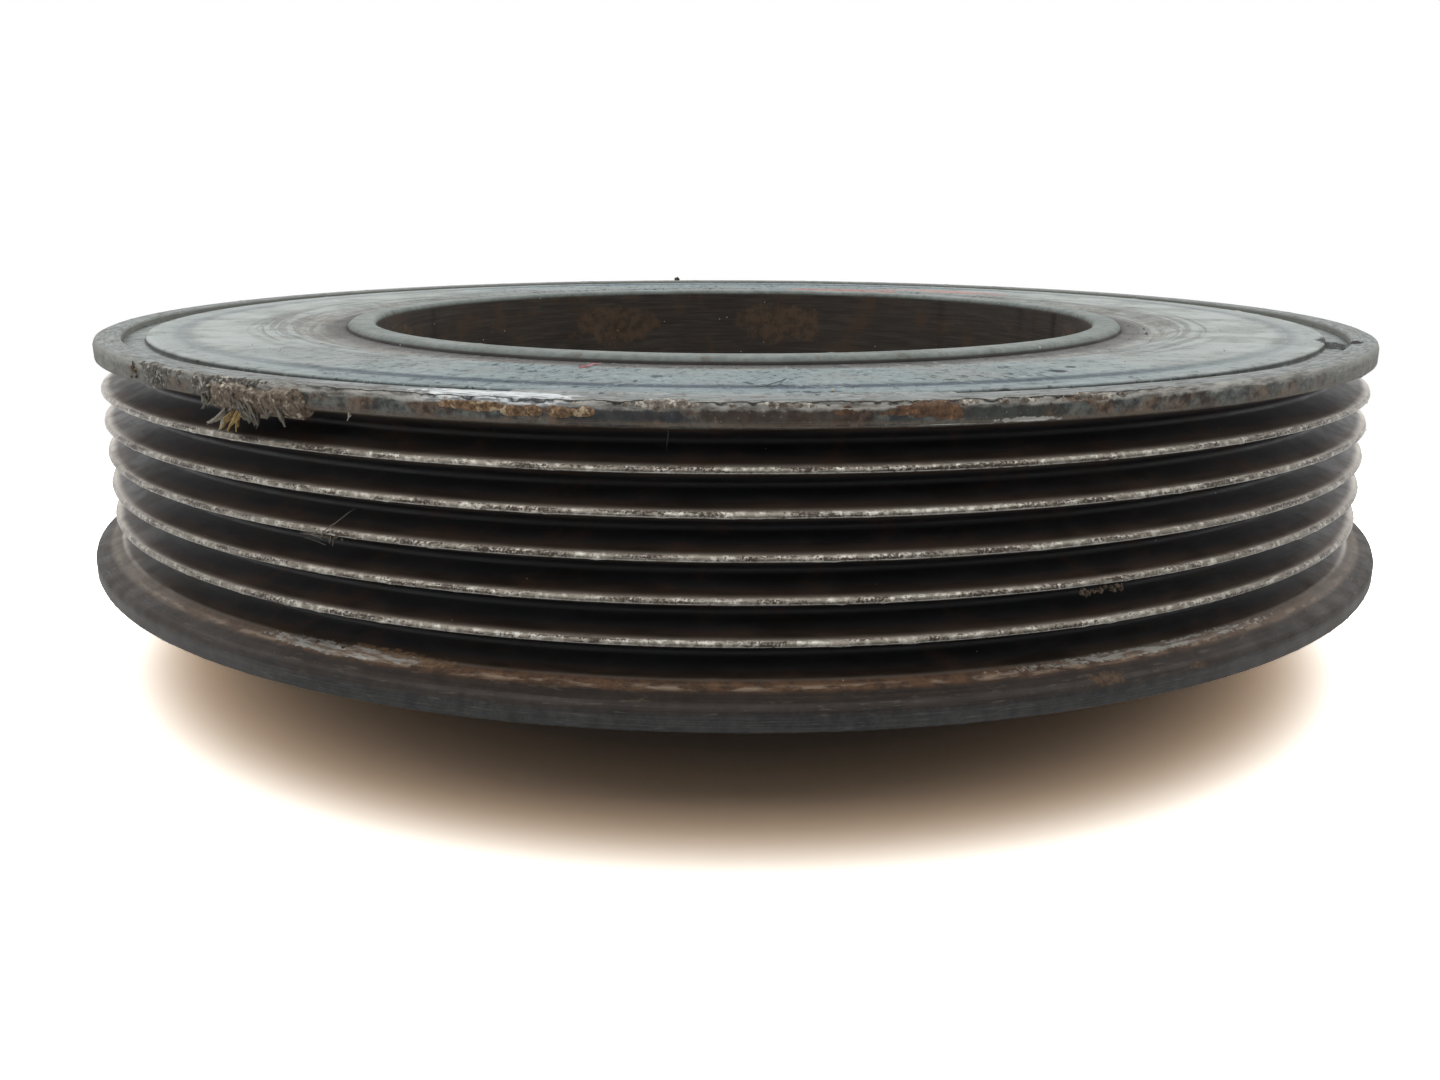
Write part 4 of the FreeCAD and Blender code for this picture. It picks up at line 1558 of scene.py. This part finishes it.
def lock(dice, count, root, tip, spread):
    """Fibres that start about one place and meet near one tip; both are (turn, radius, height)."""
    root = on_ring(*root)
    tip = on_ring(*tip)
    fibres = []
    for _ in range(count):
        start = root + Vector([dice.gauss(0, spread) for _ in range(3)]) * MM
        end = start.lerp(tip, dice.uniform(0.55, 1.05))
        end += Vector([dice.gauss(0, spread * 0.35) for _ in range(3)]) * MM
        way = end - start
        fibres.append((start, way.normalized(), way.length / MM, dice.random()))
    return fibres


print("the front of the ring is at", [round(part / MM, 2) for part in on_ring(0, tip_radius, ring_front)])

# %% Pieces: torn fibres
dice = random.Random(7)
ragged = []
for _ in range(22):
    turn = dice.uniform(-36.6, -27.2)
    height = dice.uniform(37.8, 39.0)
    fall = dice.uniform(0.6, 1.1)
    lean = dice.uniform(-0.4, 0.5)
    ragged += lock(dice, 6, (turn, 78.5, height), (turn + lean, 78.85, height - fall), 0.2)
ragged += lock(dice, 46, (-31.5, 78.6, 37.7), (-30.9, 78.9, 36.3), 0.4)
ragged += lock(dice, 24, (-32.2, 78.6, 37.7), (-31.9, 78.9, 36.6), 0.28)
ragged += lock(dice, 16, (-30.0, 78.6, 37.7), (-29.8, 78.9, 36.9), 0.26)
ragged += lock(dice, 22, (-29.0, 78.7, 37.9), (-28.2, 79.0, 36.4), 0.18)
golden = lock(dice, 34, (-32.3, 78.4, 37.5), (-33.9, 78.8, 35.3), 0.17)
golden += lock(dice, 26, (-32.9, 78.4, 37.4), (-34.6, 78.7, 35.5), 0.2)
golden += lock(dice, 12, (-33.2, 78.3, 36.6), (-33.0, 78.6, 35.4), 0.14)
pale = lock(dice, 26, (-33.9, 78.4, 37.3), (-35.7, 78.8, 35.7), 0.2)
pale += lock(dice, 16, (-34.3, 78.3, 36.6), (-34.9, 78.6, 35.1), 0.14)
pale += lock(dice, 5, (-23.6, 78.1, 37.8), (-23.8, 78.2, 37.1), 0.05)
tuft = lock(dice, 8, (-26.6, 77.8, 27.1), (-28.0, 78.6, 27.4), 0.3)
tuft += lock(dice, 6, (-26.0, 77.8, 27.1), (-25.6, 78.4, 26.4), 0.25)
tuft += lock(dice, 3, (-26.6, 77.9, 27.3), (-23.6, 78.2, 30.0), 0.05)
hair = lock(dice, 1, (-3.6, 78.2, 37.9), (-3.6, 78.4, 35.6), 0.01)
strand = lock(dice, 3, (-13.9, 58.7, facing_height + 0.1), (-13.0, 55.2, facing_height + 0.15),
              0.05)
# Each has its name, its fibres, their thickness, how far and how finely they curl, and its finish
fibres = [
    fibre_piece("fibres_grey", ragged, 0.2, 0.5, 1.0, grey_fibre_finish),
    fibre_piece("fibres_golden", golden, 0.14, 0.9, 0.9, golden_fibre_finish),
    fibre_piece("fibres_pale", pale, 0.13, 0.7, 0.9, pale_fibre_finish),
    fibre_piece("fibres_tuft", tuft, 0.04, 0.9, 1.5, grey_fibre_finish),
    fibre_piece("fibre_hair", hair, 0.02, 0.9, 1.5, dark_fibre_finish),
    fibre_piece("fibre_pink", strand, 0.1, 0.5, 1.2, pink_fibre_finish),
]

# %% [markdown]
# ## Grit
#
# Mud on the ledge of the rear flange, a clod on the fourth rib from the front, grains on the facing
# and crumbs in the trough are all grit: small balls, each with its own size and turn, then broken up
# by noise.

# %% Geometry Nodes: grit
def build_grit_tree():
    tree = bpy.data.node_groups.new("Grit", "GeometryNodeTree")
    tree.is_modifier = True
    for title, kind in (("Places", "NodeSocketGeometry"), ("Seed", "NodeSocketInt"),
                        ("Finish", "NodeSocketMaterial")):
        tree.interface.new_socket(title, in_out="INPUT", socket_type=kind)
    tree.interface.new_socket("Grit", in_out="OUTPUT", socket_type="NodeSocketGeometry")
    given = tree.nodes.new("NodeGroupInput").outputs
    result = tree.nodes.new("NodeGroupOutput").inputs

    ball = place(tree, "GeometryNodeMeshIcoSphere", {"Radius": 1.0, "Subdivisions": 3})
    spin = place(tree, "FunctionNodeRandomValue", {"Seed": given["Seed"]}, data_type="FLOAT_VECTOR")
    spin.inputs["Max"].default_value = (math.tau, math.tau, math.tau)
    shape = place(tree, "FunctionNodeRandomValue", {"Seed": given["Seed"]}, data_type="FLOAT_VECTOR")
    shape.inputs["Min"].default_value = (0.5, 0.4, 0.3)
    shape.inputs["Max"].default_value = (1.2, 1.0, 0.7)
    size = place(tree, "GeometryNodeInputNamedAttribute", {"Name": "size"}, data_type="FLOAT").outputs[0]
    copies = place(tree, "GeometryNodeInstanceOnPoints", {"Points": given["Places"],
                   "Instance": ball.outputs[0], "Rotation": spin.outputs["Value"],
                   "Scale": scaled(tree, shape.outputs["Value"], size)})
    real = place(tree, "GeometryNodeRealizeInstances", {"Geometry": copies.outputs[0]})
    here = place(tree, "GeometryNodeInputPosition").outputs[0]
    dent = noise(tree, scaled(tree, here, calc(tree, "DIVIDE", 1.3, size)), 1.0, 3.0, 0.6)
    dent = calc(tree, "MULTIPLY", calc(tree, "SUBTRACT", dent, 0.5), calc(tree, "MULTIPLY", size, 1.6))
    normal = place(tree, "GeometryNodeInputNormal").outputs[0]
    broken = place(tree, "GeometryNodeSetPosition", {"Geometry": real.outputs[0],
                   "Offset": scaled(tree, normal, dent)})
    finish = place(tree, "GeometryNodeSetMaterial", {"Geometry": broken.outputs[0],
                   "Material": given["Finish"]})
    plug(tree, finish.outputs[0], result["Grit"])
    return tree


grit_tree = build_grit_tree()
print("geometry nodes:", grit_tree.name)

# %% Pieces: grit
def crumbs(dice, count, turns, radii, heights, sizes):
    """Grains at random places, as (place, size in mm)."""
    return [(on_ring(dice.uniform(*turns), dice.uniform(*radii), dice.uniform(*heights)),
             dice.uniform(*sizes)) for _ in range(count)]


def grit_piece(name, grains, seed, finish):
    places, sizes = zip(*grains)
    mesh = point_mesh(name, places, {"size": [size * MM for size in sizes]})
    piece = apply_nodes(name, mesh, grit_tree, {"Seed": seed, "Finish": finish})
    print(f"{name}: {len(grains)} grains, {len(piece.data.polygons)} faces")
    return piece


dice = random.Random(19)
mud = crumbs(dice, 60, (-29.8, -23.4), (77.0, 77.5), (16.6, 17.0), (0.1, 0.3))
mud += crumbs(dice, 36, (22.0, 25.2), (77.5, 77.9), (22.8, 23.3), (0.1, 0.32))
mud += crumbs(dice, 16, (-28.2, -25.0), (77.6, 77.9), (26.9, 27.2), (0.1, 0.25))
mud += crumbs(dice, 40, (60, 140), (51.0, 55.5), (39.05, 39.25), (0.1, 0.3))
mud += crumbs(dice, 60, (-180, 180), (50.8, 54.0), (39.05, 39.2), (0.06, 0.2))
mud += [(on_ring(-172, 77.6, 40.1), 0.55), (on_ring(-46.9, 78.0, 39.3), 0.55)]
mud += crumbs(dice, 12, (-47.6, -46.2), (77.8, 78.2), (38.4, 39.8), (0.15, 0.35))
pale_grains = [(on_ring(6.4, 72.1, facing_height + 0.1), 0.24)]
pale_grains += crumbs(dice, 60, (-46, 24), (77.7, 78.15), (39.5, 39.9), (0.04, 0.12))
pale_grains += crumbs(dice, 24, (-36.5, -27.6), (78.2, 78.5), (38.0, 39.6), (0.05, 0.11))
pale_grains += crumbs(dice, 40, (-60, 60), (56.0, 72.0), (facing_height, facing_height + 0.03),
                      (0.04, 0.09))
grits = [
    grit_piece("grit_mud", mud, 5, make_crust_finish("mud_finish", colour(36, 28, 22),
               colour(84, 70, 56), colour(150, 134, 112), 0.2, 2.0)),
    grit_piece("grit_pale", pale_grains, 9, make_crust_finish("grain_finish", colour(150, 136, 112),
               colour(200, 190, 168), colour(232, 226, 210), 0.5, 2.0)),
]

# %% [markdown]
# ## Floor and light
#
# A dark part on a white floor needs a bright picture, in which the floor burns out to white and keeps
# only the shadow. More light would do that and would bleach the part too, so the floor's material
# does it alone: to the camera it answers with a tan colour far above 1, which clips to white where
# the light reaches and turns tan where the part shades it. Every other ray meets a plain pale floor.

# %% Stage: floor
floor_radius = 240.0


def make_floor():
    work = bmesh.new()
    bmesh.ops.create_circle(work, cap_ends=True, segments=128, radius=floor_radius * MM)
    mesh = bpy.data.meshes.new("floor")
    work.to_mesh(mesh)
    work.free()
    floor = bpy.data.objects.new("floor", mesh)
    floor.location.z = frame_box[0].z - 0.02 * MM
    bpy.context.scene.collection.objects.link(floor)
    return floor


def make_floor_finish():
    material = bpy.data.materials.new("floor_finish")
    material.use_nodes = True
    tree = material.node_tree
    tree.nodes.clear()
    ray = place(tree, "ShaderNodeLightPath").outputs["Is Camera Ray"]
    plain = place(tree, "ShaderNodeBsdfDiffuse", {"Color": (0.8, 0.8, 0.8, 1.0)})
    radius = use_group(tree, ring_coordinates)["Radius"]
    brown = (0.7, 0.58, 0.48, 1.0)
    tan = (2.3, 1.7, 1.2, 1.0)
    near_white = (3.6, 3.5, 3.3, 1.0)
    # The colour darkens towards the hub's foot and turns white past the flange: a painted shadow under
    # the part, added to the cast one.
    shown = mix(tree, rescale(tree, radius, 48.0, 69.0), brown, tan)
    shown = mix(tree, rescale(tree, radius, 68.0, 84.0), shown, near_white)
    burnt_out = place(tree, "ShaderNodeBsdfDiffuse", {"Color": shown})
    white = place(tree, "ShaderNodeEmission", {"Color": (1, 1, 1, 1), "Strength": 1.0})
    far = rescale(tree, radius, 120.0, 200.0)
    seen = place(tree, "ShaderNodeMixShader", {0: far, 1: burnt_out.outputs[0], 2: white.outputs[0]})
    surface = place(tree, "ShaderNodeMixShader", {0: ray, 1: plain.outputs[0], 2: seen.outputs[0]})
    output = tree.nodes.new("ShaderNodeOutputMaterial")
    tree.links.new(surface.outputs[0], output.inputs["Surface"])
    return material


floor = make_floor()
floor.data.materials.append(make_floor_finish())
print(f"floor: a disc of {floor_radius:.0f} mm radius at the foot of the hub")

# %% Stage: light
lamp_target = 30


def make_lamp(name, place_mm, size_mm, watts):
    """A square white area lamp that looks at the part."""
    lamp = bpy.data.lights.new(name, "AREA")
    lamp.shape = "SQUARE"
    lamp.size = size_mm * MM
    lamp.energy = watts
    holder = bpy.data.objects.new(name, lamp)
    where = Vector(place_mm) * MM
    holder.location = where
    aim = Vector((0, 0, lamp_target)) * MM - where
    holder.rotation_euler = aim.to_track_quat("-Z", "Y").to_euler()
    bpy.context.scene.collection.objects.link(holder)
    return holder


make_lamp("overhead", (0, 0, 640), 1700, 10.0)


def make_world():
    """White to the camera. For the light itself the room is dimmer on the side of the camera."""
    world = bpy.data.worlds.new("room")
    world.use_nodes = True
    tree = world.node_tree
    tree.nodes.clear()
    direction = place(tree, "ShaderNodeTexCoord").outputs["Generated"]
    parts = place(tree, "ShaderNodeSeparateXYZ", {0: direction}).outputs
    lean = calc(tree, "MULTIPLY_ADD", parts[2], 0.9, parts[1])
    lean = calc(tree, "MULTIPLY_ADD", parts[0], -0.3, lean)
    room = rescale(tree, lean, -0.9, 0.2, 0.13, 1.0)
    path = place(tree, "ShaderNodeLightPath").outputs
    room_light = calc(tree, "MULTIPLY", room, mix_values(tree, path["Is Diffuse Ray"], 1.0, 0.2))
    strength = mix_values(tree, path["Is Camera Ray"], room_light, 1.0)
    light = place(tree, "ShaderNodeBackground", {"Color": (1, 1, 1, 1), "Strength": strength})
    output = tree.nodes.new("ShaderNodeOutputWorld")
    tree.links.new(light.outputs[0], output.inputs["Surface"])
    return world


bpy.context.scene.world = make_world()
bpy.context.scene.view_settings.view_transform = "Standard"
print("light: one overhead lamp and a room that is dimmer behind the camera")

# %% [markdown]
# ## Camera
#
# Five rib edges were traced in the photo and fitted with one pinhole camera, which gives its place, its
# tilt and its focal length. The camera stood 98 mm from the front of the ring, which is why the near
# edge looms and the far edge is so much smaller.

# %% Camera
photo_width = 1440
focal_pixels = 1288.98
camera_place = (0.0, -175.625, 54.694)
pitch_down = math.radians(14.719)
yaw_right = math.radians(-0.5515)
roll = math.radians(0.1441)


def make_camera():
    camera = bpy.data.cameras.new("camera")
    camera.sensor_width = 36.0
    camera.lens = camera.sensor_width * focal_pixels / photo_width
    camera.clip_start = 5 * MM
    camera.clip_end = 20.0
    holder = bpy.data.objects.new("camera", camera)
    turn = Matrix.Rotation(-yaw_right, 4, "Z")
    tilt = Matrix.Rotation(math.pi / 2 - pitch_down, 4, "X")
    lean = Matrix.Rotation(roll, 4, "Z")
    holder.matrix_world = Matrix.Translation(Vector(camera_place) * MM) @ turn @ tilt @ lean
    bpy.context.scene.collection.objects.link(holder)
    return holder


camera = make_camera()
bpy.context.scene.camera = camera
print(f"camera: {camera.data.lens:.2f} mm lens at {tuple(round(v, 4) for v in camera.location)} m")

# %% [markdown]
# ## Hand the pieces to the frame
#
# Each piece moves with the root body, and each turned piece hides the solid that it stands for. The
# floor is only the stage.

# %% Register the pieces
for piece, node, finish in ((belt_ring, "belt_ring", "belt_ring_steel"),
                            (rubber_ring, "rubber_ring", "damper_rubber"),
                            (hub, "hub", "hub_steel")):
    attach(piece, "root")
    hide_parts(node)
for piece in crusts + grits:
    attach(piece, "root")
for piece in fibres + [packed_channel]:
    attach(piece, "root")

print("pieces handed over")
